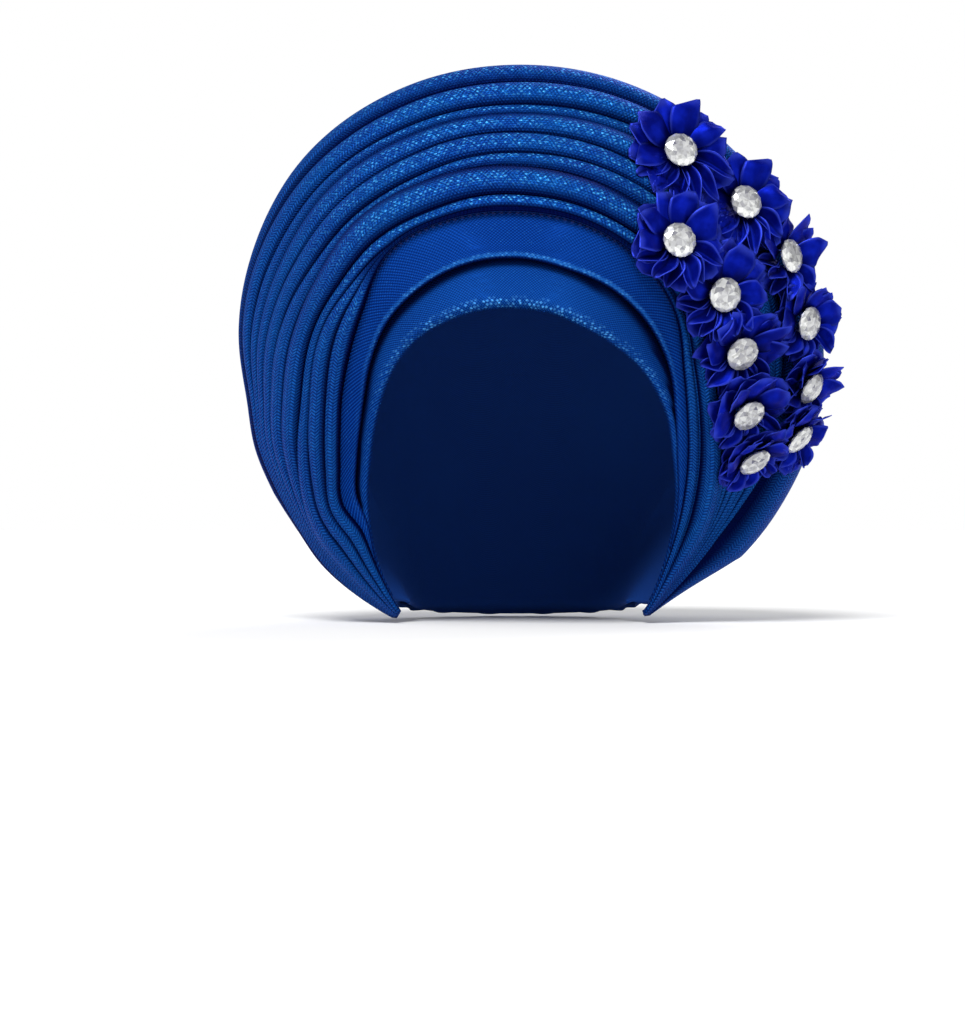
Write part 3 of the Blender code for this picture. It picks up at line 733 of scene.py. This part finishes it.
def ribbed_cloth(name, deep, bright, pitch, slant, glitter=0.0, glitter_width=1.0, bead_highlight=0.0):
    """Metallic cloth with slanting ribs that run from the middle down and outward on both sides.

    The ribs are fine and faint beside the middle, where they meet in a dotted knit, and deepen with the
    distance from it. Glitter and a painted highlight on the rolled bead lie along the first edge, over the
    middle, with painted shade right at that edge, and a seam mark carries running stitches. Painted shade
    from the mesh darkens the cloth where other cloth covers it and in its folds.
    """
    made = Finish(name, Metallic=0.40, Specular_IOR_Level=CLOTH_GLOSS, Specular_Tint=EDGE_TINT)
    along, across = made.cloth_place()
    from_middle = made.size(along)
    crown = made.smooth(from_middle, *RIB_CROWN)

    spread = from_middle * (1 - RIB_EASE * from_middle)
    rib_place = (spread * math.cos(slant) - across * math.sin(slant)) / pitch
    thread_place = (across * math.cos(slant) + spread * math.sin(slant)) / (pitch * THREAD_TO_RIB)
    rib, thread = made.ribs(rib_place), made.ribs(thread_place)
    side = made.smooth(from_middle, *RIB_SIDE)
    woven = (0.45 + 0.55 * side) * rib * (0.66 + 0.34 * thread) + (1 - side) * 0.24 * (1 + thread)
    apart = made.smooth(from_middle, *RIB_APART)
    knit = made.wave(along, DOT_LENGTH) * made.wave(across, DOT_WIDTH)
    relief = made.smooth(woven * apart + (knit * 0.45 + 0.5) * (1 - apart), 0.10, 0.90)

    cell_chance = made.chance(made.whole(rib_place), made.whole(thread_place))
    glint = made.smooth(cell_chance, 0.90, 1.0) * made.smooth(thread * rib, 0.2, 0.8)
    off_rim = made.smooth(across, *OFF_RIM)
    near, lively = made.flecks(along, across / SPOT_WIDTH, SPOT_WIDTH, SPOT_LENGTH, SPOT_REACH)
    edge = made.smooth(across, glitter_width * 1.6, glitter_width * 0.6) * off_rim
    spot = near * edge * (0.10 + 0.90 * crown) * glitter * made.smooth(lively, 0.1, 0.9)
    # Painted highlight along the rolled bead, mostly over the crown
    bead = off_rim * made.smooth(across, *BEAD_EDGE) * (0.05 + 0.95 * crown) * bead_highlight
    dash = made.mark("seam") * made.smooth(made.wave(along, RUNNING_STITCH), -0.2, 0.5)

    patch = made.smooth(made.noise(18.0), 0.4, 0.7)
    shaded = made.layers(
        made.blend(relief * 0.85 + patch * 0.15, deep, bright),
        (bead * 0.5, RIB_BEAD_HIGHLIGHT),
        # painted shade along the first edge
        ((1 - off_rim) * 0.6, RIB_RIM_SHADE),
        (glint * 0.15, RIB_GLINT),
        (spot, RIB_SPOT),
        # painted shade from the mesh
        (made.smooth(made.mark("hollow"), 0.05, 0.9) * 0.95, RIB_CREASE_SHADE),
        (dash * 0.4, RIB_STITCH),
    )
    normal = made.bump(relief + spot + 1.5 * dash, 0.35, 0.8)
    return made.feed(Base_Color=shaded, Roughness=0.55 - 0.2 * spot, Normal=normal)


def lining_cloth():
    """Plain lining in a fine square weave, its dark tones painted shade for the inside of the cloth."""
    made = Finish("lining_cloth", Roughness=0.85, Specular_IOR_Level=0.1)
    along, across = made.cloth_place()
    relief = made.wave(along, LINING_WEAVE) * made.wave(across, LINING_WEAVE) * 0.5 + 0.5
    ground = made.blend(relief, *SHADED_LINING_TONES)
    ground = made.blend(made.smooth(made.noise(12.0), 0.3, 0.8) * 0.3, ground, LINING_PATCH)
    return made.feed(Base_Color=ground, Normal=made.bump(relief, 0.12, 0.5))


def satin_ribbon():
    """Glossy satin: fine threads across the ribbon, with painted shade in the folds and a painted highlight
    along the cut edges.
    """
    made = Finish("satin_ribbon", Metallic=0.55, Specular_IOR_Level=0.12, Specular_Tint=EDGE_TINT)
    along, _ = made.cloth_place()
    thread = made.ribs(along, SATIN_THREAD)
    streak = made.noise(160.0)
    shaded = made.layers(
        made.blend(made.smooth(streak, 0.3, 0.75), *SATIN_TONES),
        (thread * 0.12, SATIN_SHEEN),
        # painted highlight on the cut edges
        (made.smooth(made.mark("border"), 0.76, 1.0) * 0.5, SATIN_EDGE_HIGHLIGHT),
        # painted shade in the folds
        (made.smooth(made.mark("hollow"), 0.0, 1.0) * 0.94, SATIN_FOLD_SHADE),
    )
    return made.feed(Base_Color=shaded, Roughness=0.34 + 0.12 * streak, Normal=made.bump(thread, 0.05, 0.4))


def clear_stone():
    """Cut clear stone with a silver back: each facet carries a grey painted as the reflection it would
    catch.
    """
    made = Finish("clear_stone", Metallic=0.55, Coat_Weight=0.4, Coat_Roughness=0.10, Specular_IOR_Level=0.5)
    ground = made.blend(made.mark("facet"), *STONE_REFLECTION_TONES)
    cloudy = made.noise(520.0, 3.0)
    ground = made.blend(made.smooth(cloudy, 0.50, 0.66) * 0.55, ground, STONE_CLOUD)
    return made.feed(Base_Color=ground, Roughness=0.20 + 0.10 * cloudy)


def studio_floor():
    """Plain pale floor."""
    made = Finish("studio_floor", Roughness=0.9, Specular_IOR_Level=0.1)
    return made.feed(Base_Color=made.blend(made.noise(3.0) * 0.3, *FLOOR_TONES))


BRAIDED = braided_cloth()
BAND = ribbed_cloth("band_cloth", *BAND_TONES, 1.2, math.radians(38), 0.6, 2.0, 1.0)
BROW = ribbed_cloth("brow_cloth", *BROW_TONES, 1.2, math.radians(34), 1.0, 4.2)
PLAIN = ribbed_cloth("back_cloth_weave", *BACK_TONES, 1.4, math.radians(45))
LINING = lining_cloth()
SATIN = satin_ribbon()
STONE = clear_stone()


# Pieces of cloth


def crease_shade(low, high, place, up, crown, width):
    """How much painted shade darkens the points along one line of a roll, from 0 on its ridge to 1.

    It is the highest of four painted shades: the line's own way down from the ridge, the shade of the roll's
    underside over the crown, the shadow in the creases which the roll below hangs over, and the shade of a
    roll too narrow to catch light.
    """
    sharpness = OVERHUNG_SHARPNESS if low in OVERHUNG_SHADOW else CREASE_SHARPNESS
    down = np.full_like(crown, (1 - up) ** CREASE_FALL)
    under = UNDERSIDE_SHADE * crown * (1 - up) ** sharpness * (place < 0.5 and high != "back_lip")
    over = OVERHUNG_SHADOW.get(high, 0.0) * crown**0.5 * (1 - up) ** OVERHUNG_SHARPNESS * (place > 0.5)
    narrow = NARROW_SHADE * np.clip(1.6 - width / NARROW_ROLL, 0, 1) * crown
    return np.maximum.reduce([down, under, over, narrow])


def pleated_grids():
    """Outer and inner grid of the pleated cloth, its places on the cloth, and the painted shade on each
    point.

    Across each roll the place goes as (1 - cos) / 2 and the height as the sine to a power below one, so
    that its sides stand steeply in the creases; a small dip deepens each crease. Along it the roll swells a
    little.
    """
    directions = np.linspace(*FAN_ENDS, FAN_ROWS)
    crown, faded = crownness(directions), fade(directions)
    base, heights, ridges, hollows = [], [], [], []
    names = ["inner", *CREASES, "back_lip"]
    for index, (low, high) in enumerate(zip(names, names[1:])):
        low_r, low_y = fan_crease(low, directions)
        high_r, high_y = fan_crease(high, directions)
        width = np.hypot(high_r - low_r, high_y - low_y)
        count = ROLL_COLUMNS.get(low, WIDE_ROLL_COLUMNS)
        turn = np.linspace(0, math.pi, count + 1)[(0 if index == 0 else 1) :]
        swell = 1 + ROLL_SWELL * np.sin(np.radians(directions) * (3 + index % 3) + 1.7 * index)
        dip = np.minimum(CREASE_DIP, CREASE_DIP_SHARE * width)
        for t in turn:
            place, up = (1 - math.cos(t)) / 2, math.sin(t)
            base.append(placed(directions, mix(low_r, high_r, place), mix(low_y, high_y, place)))
            full = max(up, 0.0) ** ROLL_FULLNESS * ROLL_BULGE * width * swell
            heights.append((full - dip * (1 - up) ** 4) * faded)
            # Painted shade for this line of the roll
            hollows.append(crease_shade(low, high, place, up, crown, width))
        ridges += [index] * count
    base = np.stack(base, axis=1)
    heights = np.stack(heights, axis=1)[..., None]
    normals = normals_of(base)
    outer = base + heights * normals
    inner = base + (LINING_BULGE * np.maximum(heights, 0) + np.minimum(heights, 0) - CLOTH) * normals
    return directions, outer, inner, np.array(ridges), np.stack(hollows, axis=1)


def roll_weave(outer, ridges, directions):
    """Places on the cloth of each roll: along from the crown, and across from the roll's ridge.

    Each roll starts a whole number of column pairs further across, so that no two rolls glint alike.
    """
    along, across = lengths_along(outer, 0), lengths_along(outer, 1)
    middle = np.argmin(np.abs(directions - 90))
    middles = np.array([int(np.mean(np.flatnonzero(ridges == roll))) for roll in ridges])
    run = along[:, middles] - along[middle, middles]
    ridge = across[:, middles] - ROLL_STEP * ridges
    return run, run, across[:, :-1] - ridge, across[:, 1:] - ridge


def make_pleats():
    """The pleated cloth: two tucks and eight rolls from one low tip over the crown to the other."""
    directions, outer, inner, ridges, hollows = pleated_grids()
    weave = roll_weave(outer, ridges, directions)
    piece = cloth_wall("pleated_cloth", outer, inner, [BRAIDED, LINING], weave, hollow=hollows)
    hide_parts("pleated_fan")
    return piece, outer


def make_cap():
    """The inner cap: cubic curves from the edge of the opening over the top to the hem at the back.

    At the sides the brow band rolls outward as a sine across what shows of it. A painted shadow lies where
    the front band covers it.
    """
    directions = np.linspace(*CAP_ENDS, CAP_GRID[0])
    start = placed(directions, rim("opening", directions), rim("opening_y", directions))
    finish = nape(np.linspace(0, 1, CAP_GRID[0]), CAP_INSET)
    up = crownness(directions)[:, None]
    slope = mix(CAP_SLOPE_SIDE, CAP_SLOPE_CROWN, up)
    bends = (CAP_LEAVE, CAP_ARRIVE, CAP_FLARE, CAP_GRID[1], CAP_END_RISE)
    outer = dome(directions, start, finish, 1.0, slope, *bends)
    normals = normals_of(outer)
    inner = outer - CLOTH * normals
    shown = (rim("band", directions) - rim("opening", directions))[:, None]
    place = lengths_along(outer, 1) / np.maximum(shown, LEAST_BROW)
    roll = CAP_ROLL * (1 - up) * np.sin(math.pi * np.clip(place, 0, 1))
    outer = outer + roll[..., None] * normals
    # Painted shadow of the front band on the brow band
    hollow = COVERED_SHADE * np.clip((place - 0.90) / 0.12, 0, 1) * np.clip((2.5 - place) / 0.5, 0, 1)
    weave = plain_weave(outer, BROW_COLUMN)
    piece = cloth_wall("brow_cap", outer, inner, [BROW, LINING], weave, hollow=hollow)
    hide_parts("head_cap")
    return piece


def make_band():
    """The flat second band: a bell-shaped bead along its lower edge, gently crowned above.

    Painted shade lies on its edge and where the pleats cover it, and a line of stitches runs just before
    them.
    """
    directions = np.linspace(*BAND_ENDS, BAND_GRID[0])
    low = rim("band", directions)
    high = np.maximum(rim("fan", directions), low + 1.0) + BAND_TUCK
    places = np.linspace(0, 1, BAND_GRID[1]) ** BAND_PACKING
    distance = mix(low[:, None], high[:, None], places[None, :])
    base = placed(directions[:, None], distance, band_y(directions[:, None], distance))
    bead = bell(places, BAND_BEAD_PLACE, BAND_BEAD_WIDTH)
    up = crownness(directions)[:, None]
    crowned = mix(SIDE_CROWNING, CROWN_CROWNING, up) * np.sin(math.pi * places) ** 0.8
    normals = normals_of(base)
    outer = base + (BAND_BEAD * up**0.5 * bead + crowned)[..., None] * normals
    inner = base - BAND_THICKNESS * normals
    shown = ((rim("fan", directions) - low) / (high - low))[:, None]
    # Painted shade under the pleats and along the lower edge
    hollow = 0.95 * np.clip((places - BAND_SHADE_START * shown) / ((1 - BAND_SHADE_START) * shown), 0, 1)
    hollow = np.maximum(hollow, np.clip(0.7 - places / 0.05, 0, 1))
    seam = bell(places, SEAM_PLACE * shown, SEAM_WIDTH) * up
    weave = plain_weave(outer, BAND_COLUMN)
    piece = cloth_wall("brow_band", outer, inner, [BAND, LINING], weave, hollow=hollow, seam=seam)
    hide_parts("front_band")
    return piece


def make_back():
    """The plain back: cubic curves from inside the outermost roll to the hem, with gathers that grow.

    The gathers are a cosine round the back. Painted shade lies in their troughs and at the hem's turning,
    and stitches hold the hem.
    """
    directions = np.linspace(*WRAP_ENDS, WRAP_GRID[0])
    share = np.linspace(0, 1, WRAP_GRID[0])
    lip_r, lip_y = fan_crease("back_lip", directions)
    start = placed(directions, lip_r - CLOTH - WRAP_TUCK_GAP, lip_y - WRAP_TUCK)
    spread = mix(*WRAP_SPREAD, crownness(directions)[:, None])
    bends = (WRAP_LEAVE, WRAP_ARRIVE, WRAP_FLARE, WRAP_GRID[1])
    base = dome(directions, start, nape(share, 0.0), spread, 1.0, *bends)
    normals = normals_of(base)
    down = np.linspace(0, 1, WRAP_GRID[1])[None, :]
    wave = np.cos(2 * math.pi * WRAP_GATHERS * share)[:, None] * down * np.sin(math.pi * share)[:, None]
    outer = base + WRAP_GATHER * wave[..., None] * normals
    inner = outer - CLOTH * normals
    weave = plain_weave(outer)
    to_hem = lengths_along(outer, 1)
    to_hem = to_hem[:, -1:] - to_hem
    seam = bell(to_hem, HEM_WIDTH, HEM_STITCH)
    turning = bell(to_hem, HEM_WIDTH + HEM_STEP, HEM_STEP_WIDTH)
    # Painted shade in the troughs of the gathers and at the hem's turning
    hollow = np.maximum(0.5 * np.clip(-wave, 0, 1), 0.35 * turning)
    piece = cloth_wall("back_cloth", outer, inner, [PLAIN, LINING], weave, hollow=hollow, seam=seam)
    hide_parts("back_wrap")
    return piece


# Flowers and stones


def stone_seat(number):
    """A stone's base centre and axis in millimetres.

    The axis is the thinnest direction of its points, turned a little to the front and down.
    """
    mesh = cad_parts[f"stone_{number:02d}"].data
    points = np.zeros(len(mesh.vertices) * 3, np.float32)
    mesh.vertices.foreach_get("co", points)
    points = np.unique(np.round(points.reshape(-1, 3) / MM, 3), axis=0)
    _, directions = np.linalg.eigh(np.cov(points.T))
    axis = directions[:, 0] * (-1 if directions[1, 0] > 0 else 1)
    centre = points.mean(axis=0)
    base = centre + ((points @ axis).min() - centre @ axis) * axis
    return base, unit(axis - np.array([0, TURN_FRONT[number - 1], TIP_DOWN[number - 1]]))


def axes_across(axis):
    """Two directions square to an axis: the first level, the second upward."""
    level = -unit(np.cross(axis, [0, 0, 1.0]))
    return level, np.cross(axis, level)


def petal_room(centre, toward, others, overlap):
    """How far a petal may reach: a little past the middle plane to a neighbour, and clear of its stone.

    It stays clear of the stone both along the line to it and as seen from the front.
    """
    apart = others - centre
    distance = np.linalg.norm(apart, axis=1)
    facing = (apart / distance[:, None]) @ toward
    rooms = np.minimum(distance / 2 + overlap, distance - STONE_ROOM) / np.maximum(facing, LEAST_FACING)
    in_front = np.hypot(apart[:, 0], apart[:, 2]) - FRONT_ROOM
    rooms = np.where(facing > STRAIGHT_AT, np.minimum(rooms, in_front), rooms)
    return np.where((distance < NEIGHBOUR_RANGE) & (facing > LEAST_FACING), rooms, FAR).min()


def petal_places():
    """A petal's grid of places: from 0 at the hub to 1 at the tip, and from -1 to 1 across."""
    out, across = PETAL_GRID
    return np.meshgrid(np.linspace(0, 1, out), np.linspace(-1, 1, across), indexing="ij")


def petal_sheet(out, aside, up, hollow, s, t):
    """A petal's grid of points, the painted shade on each, and how near each is to the cut edge."""
    return np.stack([out, aside, up], axis=-1), np.clip(hollow, 0, 1), np.maximum(np.abs(t), s)


def open_petal(reach, half_width, point, corner, fold, rise, twist):
    """A broad ribbon petal on its own axes: out along x, across y and up z.

    The half width grows from the hub as a sine and then stays, as a ribbon's does. Towards the tip it closes
    by the share point, to an off-centre corner, so that the tip is pointed or cut nearly square. A fold
    along the middle stands up by the given height; the petal climbs as it goes out, leans on the next one by
    its twist and curls up along one edge by the square of the place across.
    """
    s, t = petal_places()
    width = half_width * (0.30 + 0.70 * np.sin(math.pi / 2 * np.clip(s / WIDE_FROM, 0, 1)))
    close = point * np.clip((s - CLOSING_FROM) / (1 - CLOSING_FROM), 0, 1)
    across = width * (t * (1 - close) + corner * close)
    out = PETAL_START + (reach - PETAL_START) * s * (1 - 0.07 * (1 - point) * (1 - corner * t))
    ridge = fold * (1 - np.abs(t)) * np.sin(math.pi * (0.15 + 0.7 * s)) * (1 - close)
    wave = PETAL_WAVE * np.sin(3.0 * t * (1 - close) + 6 * s + 4 * corner) * s
    outward = np.sin(math.pi / 2 * s)
    turn = twist * outward
    curl = PETAL_CURL * np.clip(t * np.sign(corner), 0, 1) ** 2 * outward * (1 - close)
    up = rise * s**0.8 + ridge + wave + curl + across * np.sin(turn)
    # Painted shade: darker near the hub and over one half of the petal
    hollow = np.clip(1.05 - 2.2 * s, 0, 1) + 0.75 * np.clip(-t, 0, 1) ** 0.6 * (1 - 0.5 * s)
    return petal_sheet(out, across * np.cos(turn), up, hollow, s, t)


def curled_petal(reach, half_width, point, bend, fold, rise, twist):
    """A narrow ribbon petal curled into a trough, on its own axes: out along x, across y and up z.

    The half width swells and closes as a sine to a low power, the middle line swings aside in an S, and the
    two edges stand above the trough's floor by the square of the place across.
    """
    s, t = petal_places()
    width = half_width * np.sin(math.pi * (0.10 + (0.76 + 0.12 * point) * s)) ** 0.6
    across = width * t + bend * np.sin(2 * math.pi * s * 0.8) * (0.4 + 0.6 * s)
    out = PETAL_START + (reach - PETAL_START) * s * (1 - 0.06 * t**2)
    turn = twist * np.sin(math.pi * s)
    trough = 1.2 * fold * t**2 * np.sin(math.pi * (0.12 + 0.80 * s))
    up = rise * s**0.7 + trough + width * t * np.sin(turn)
    # Painted shade: darker near the hub and along the floor of the trough
    hollow = np.clip(1.15 - 2.6 * s, 0, 1) + 0.85 * (1 - np.abs(t)) ** 1.5
    return petal_sheet(out, across, up, hollow, s, t)


def petal_angles(chance):
    """Angles of a flower's petals: open ones, then curled ones below, then low ones all round."""
    start, end = CURLED_MIDDLE - CURLED_SPREAD / 2, CURLED_MIDDLE + CURLED_SPREAD / 2
    curled = np.linspace(start, end, CURLED_PETALS)
    step = (2 * math.pi - CURLED_SPREAD) / (OPEN_PETALS + 1)
    opened = end + step * (1 + np.arange(OPEN_PETALS))
    opened = opened + chance.uniform(-0.10, 0.10, OPEN_PETALS)
    turned = chance.uniform(-0.35, 0.35)
    low = 2 * math.pi * (np.arange(LOW_PETALS) + chance.uniform(-0.2, 0.2, LOW_PETALS)) / LOW_PETALS
    curled = curled + turned + chance.uniform(-0.05, 0.05, CURLED_PETALS)
    return np.concatenate([opened + turned, curled, low])


def draw_petal(kind, reach, rise, chance):
    """A petal of one kind, open, curled or low, whose measures are drawn from that kind's ranges."""
    if kind == "low":
        width = OPEN_HALF_WIDTH * chance.uniform(*LOW_WIDTHS)
        corner, twist = chance.uniform(*CORNERS), chance.uniform(*LOW_TWISTS)
        grid, hollow, border = open_petal(reach, width, LOW_POINT, corner, LOW_FOLD, LOW_RISE, twist)
        # The low petals, under the others, get at least this painted shade
        return grid, np.maximum(hollow, LOW_SHADE), border
    if kind == "open":
        width = OPEN_HALF_WIDTH * chance.uniform(*OPEN_WIDTHS)
        point, corner = chance.choice(OPEN_POINTS), chance.uniform(*CORNERS)
        fold, twist = chance.uniform(*OPEN_FOLDS), chance.uniform(*OPEN_TWISTS)
        return open_petal(reach, width, point, corner, fold, rise, twist)
    width = CURLED_HALF_WIDTH * chance.uniform(*CURLED_WIDTHS)
    bend, point = chance.uniform(*CURLED_BENDS), chance.uniform(0, 1)
    fold, twist = chance.uniform(*CURLED_FOLDS), chance.uniform(*CURLED_TWISTS)
    return curled_petal(reach, width, point, bend, fold, rise, twist)


def ribbon_wall(top, first):
    """A thin wall under a petal's grid: its points, and its faces and sides numbered from first."""
    under = top - PETAL_THICKNESS * normals_of(top)
    rows, columns = top.shape[:2]
    size = rows * columns
    number = first + np.arange(size).reshape(rows, columns)
    ring = np.concatenate([number[:, 0], number[-1, 1:], number[-2::-1, -1], number[0, -2:0:-1]])
    after = np.roll(ring, -1)
    sides = np.stack([after, ring, ring + size, after + size], axis=-1)
    faces = [quads(number), quads(number + size)[:, ::-1], sides]
    return [top.reshape(-1, 3), under.reshape(-1, 3)], faces


def make_flower(number, seats, cloth, chance):
    """A ribbon flower: open and curled petals in a ring, low and high in turn, over a ring of flatter ones.

    Petals towards the other flowers are a little longer, and those turned away from them rise more. All are
    lifted clear of the cloth.
    """
    base, axis = seats[number - 1]
    widest = FLOWER_REACH[number - 1]
    centre = base - STONE_BASE * axis
    others = np.array([seat[0] for k, seat in enumerate(seats) if k != number - 1])
    level, upward = axes_across(axis)
    near = cloth[np.linalg.norm(cloth - centre, axis=1) < widest + CLOTH_RANGE] - centre
    near_flat = np.stack([near @ level, near @ upward], axis=-1)
    near_up = near @ axis
    inward = others[np.linalg.norm(others - base, axis=1) < CLUSTER_RANGE].mean(axis=0) - base
    inward = unit(inward - (inward @ axis) * axis)
    kinds = ["open"] * OPEN_PETALS + ["curled"] * CURLED_PETALS + ["low"] * LOW_PETALS
    points, faces, uvs, hollows, borders = [], [], [], [], []
    for k, (kind, angle) in enumerate(zip(kinds, petal_angles(chance))):
        toward = math.cos(angle) * level + math.sin(angle) * upward
        facing = toward @ inward
        longer = 1 + INWARD_REACH * max(facing, 0.0)
        reach = widest * longer * chance.uniform(*REACHES)
        overlap = LOW_OVERLAP if kind == "low" else PETAL_OVERLAP
        reach = min(reach, petal_room(base, toward, others, overlap))
        rise = PETAL_RISES[k % 2] + chance.uniform(*RISE_CHANCE)
        rise += OUTER_LIFT * max(-facing, 0.0) * max(axis[0], 0.0)
        grid, hollow, border = draw_petal(kind, reach, rise, chance)
        x = grid[..., 0] * math.cos(angle) - grid[..., 1] * math.sin(angle)
        y = grid[..., 0] * math.sin(angle) + grid[..., 1] * math.cos(angle)
        up = grid[..., 2] + PETAL_STEPS[0 if kind == "low" else k % 2]
        away = np.hypot(x.ravel()[:, None] - near_flat[:, 0], y.ravel()[:, None] - near_flat[:, 1])
        floor = np.where(away < FOOTING, near_up[None, :], -FAR).max(axis=1).reshape(x.shape)
        up = np.maximum(up, floor + PETAL_CLEARANCE)
        top = centre + x[..., None] * level + y[..., None] * upward + up[..., None] * axis
        petal_points, petal_faces = ribbon_wall(top, sum(map(len, points)))
        points += petal_points
        faces += petal_faces
        uvs += [grid[..., :2].reshape(-1, 2)] * 2
        hollows += [hollow.ravel()] * 2
        borders += [border.ravel()] * 2
    faces, uvs = np.concatenate(faces), np.concatenate(uvs)
    marks = {"hollow": np.concatenate(hollows), "border": np.concatenate(borders)}
    name = f"ribbon_flower_{number:02d}"
    piece = mesh_piece(name, np.concatenate(points), faces, [SATIN], weave=uvs[faces], **marks)
    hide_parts(f"flower_{number:02d}")
    return piece


def make_stone(number, base, axis):
    """A round cut stone: a table, three rings of facets in turn round it, a girdle and a flat back.

    Each ring of corners is half a step round from the last, so the facets between two rings are triangles.
    A facet's grey is a painted reflection: paler low down, in a ring near the rim and on every other spoke,
    and also by chance.
    """
    level, upward = axes_across(axis)
    step = np.arange(STONE_SIDES)
    after = (step + 1) % STONE_SIDES
    points, triangles = [], []
    turned, straight = ((0, 1, 3), (1, 2, 3)), ((0, 1, 2), (0, 2, 3))
    for k, (radius, up) in enumerate(STONE_RINGS):
        angle = 2 * math.pi * (step + 0.5 * (k % 2)) / STONE_SIDES
        out = np.cos(angle)[:, None] * level + np.sin(angle)[:, None] * upward
        points.append(base + STONE_GROWTH * (radius * out + up * axis))
        far = STONE_SIDES * k
        near = far - STONE_SIDES
        corners = np.stack([near + step, far + step, far + after, near + after], -1)
        if k:
            triangles += [corners[:, pick] for pick in (turned if k % 2 else straight)]
    top, bottom = far + STONE_SIDES, far + STONE_SIDES + 1
    points = np.concatenate([*points, points[0].mean(axis=0)[None, :], base[None, :]])
    triangles.append(np.stack([np.full(STONE_SIDES, top), step, after], -1))
    triangles.append(np.stack([np.full(STONE_SIDES, bottom), far + after, far + step], -1))
    faces = np.concatenate(triangles)
    piece = mesh_piece(f"cut_stone_{number:02d}", points, faces, [STONE], smooth=False)
    middles = points[faces].mean(axis=1) - base
    aside, height = middles @ level, middles @ upward
    spokes = np.cos(STONE_SIDES / 2 * np.arctan2(height, aside))
    pale_ring = bell(np.hypot(aside, height), STONE_RING, STONE_RING_WIDTH)
    # Painted reflection: lower facets paler as if mirroring the pale floor, with a pale ring, spokes and
    # chance
    shades = STONE_GREY - STONE_TILT * height + STONE_SPOKES * spokes + STONE_RING_SHADE * pale_ring
    shades += np.random.default_rng(number).uniform(-STONE_CHANCE, STONE_CHANCE, len(faces))
    layer = piece.data.attributes.new("facet", "FLOAT", "FACE")
    layer.data.foreach_set("value", np.clip(shades, 0, 1).astype(np.float32))
    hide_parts(f"stone_{number:02d}")
    return piece


def make_flowers(cloth):
    """The eleven flowers, each with its stone."""
    numbers = range(1, len(FLOWER_REACH) + 1)
    seats = [stone_seat(number) for number in numbers]
    chance = np.random.default_rng(FLOWER_SEED)
    made = []
    for number in numbers:
        made.append(make_flower(number, seats, cloth, chance))
        made.append(make_stone(number, *seats[number - 1]))
    return made


# Studio


def make_camera():
    """The photograph's viewing angle: straight at the front from a little below the middle."""
    data = bpy.data.cameras.new("photo_view")
    data.sensor_width = SENSOR
    data.lens = SENSOR * SIGHT_DISTANCE / FIELD_HEIGHT
    data.clip_start = 0.01
    camera = linked("photo_view", data)
    camera.location = Vector((SIGHT_X, PLANE_Y - SIGHT_DISTANCE, SIGHT_Z)) * MM
    camera.rotation_euler = (math.pi / 2, 0, 0)
    bpy.context.scene.camera = camera


def soft_light(name, towards, spread, strength):
    """A wide, far light that shines from one direction and is as soft as its spread in degrees."""
    data = bpy.data.lights.new(name, "SUN")
    data.angle = math.radians(spread)
    data.energy = strength
    linked(name, data).rotation_euler = Vector(towards).to_track_quat("Z", "Y").to_euler()


def make_floor():
    """A round pale floor under the hem: rings of points about the origin."""
    angle = np.linspace(0, 2 * math.pi, FLOOR_SIDES + 1)[:-1]
    rings = np.array(FLOOR_RINGS)
    level = np.full((len(rings), FLOOR_SIDES), NAPE_BACK_Z - 1.0)
    points = np.stack([np.outer(rings, np.cos(angle)), np.outer(rings, np.sin(angle)), level], -1)
    number = np.arange(level.size).reshape(level.shape)
    faces = quads(np.hstack([number, number[:, :1]]))
    mesh = faced_mesh("floor", points.reshape(-1, 3), faces, [studio_floor()])
    linked("floor", mesh)


def make_studio():
    """The floor, white surroundings that light the piece less than they show, and four wide soft lights."""
    make_floor()
    world = bpy.data.worlds.new("studio")
    world.use_nodes = True
    tree = world.node_tree
    around, seen = tree.nodes["Background"], tree.nodes.new("ShaderNodeBackground")
    for background, strength in ((around, AROUND_STRENGTH), (seen, 1.0)):
        background.inputs["Color"].default_value = tone(1.0, 1.0, 1.0)
        background.inputs["Strength"].default_value = strength
    chosen = tree.nodes.new("ShaderNodeMixShader")
    tree.links.new(tree.nodes.new("ShaderNodeLightPath").outputs["Is Camera Ray"], chosen.inputs[0])
    tree.links.new(around.outputs[0], chosen.inputs[1])
    tree.links.new(seen.outputs[0], chosen.inputs[2])
    tree.links.new(chosen.outputs[0], tree.nodes["World Output"].inputs[0])
    bpy.context.scene.world = world
    for light in LIGHTS:
        soft_light(*light)


make_camera()
pleats, pleat_grid = make_pleats()
cap = make_cap()
band = make_band()
back = make_back()
sewn_on = make_flowers(pleat_grid.reshape(-1, 3))
make_studio()

scene = bpy.context.scene
scene.view_settings.view_transform = "Standard"
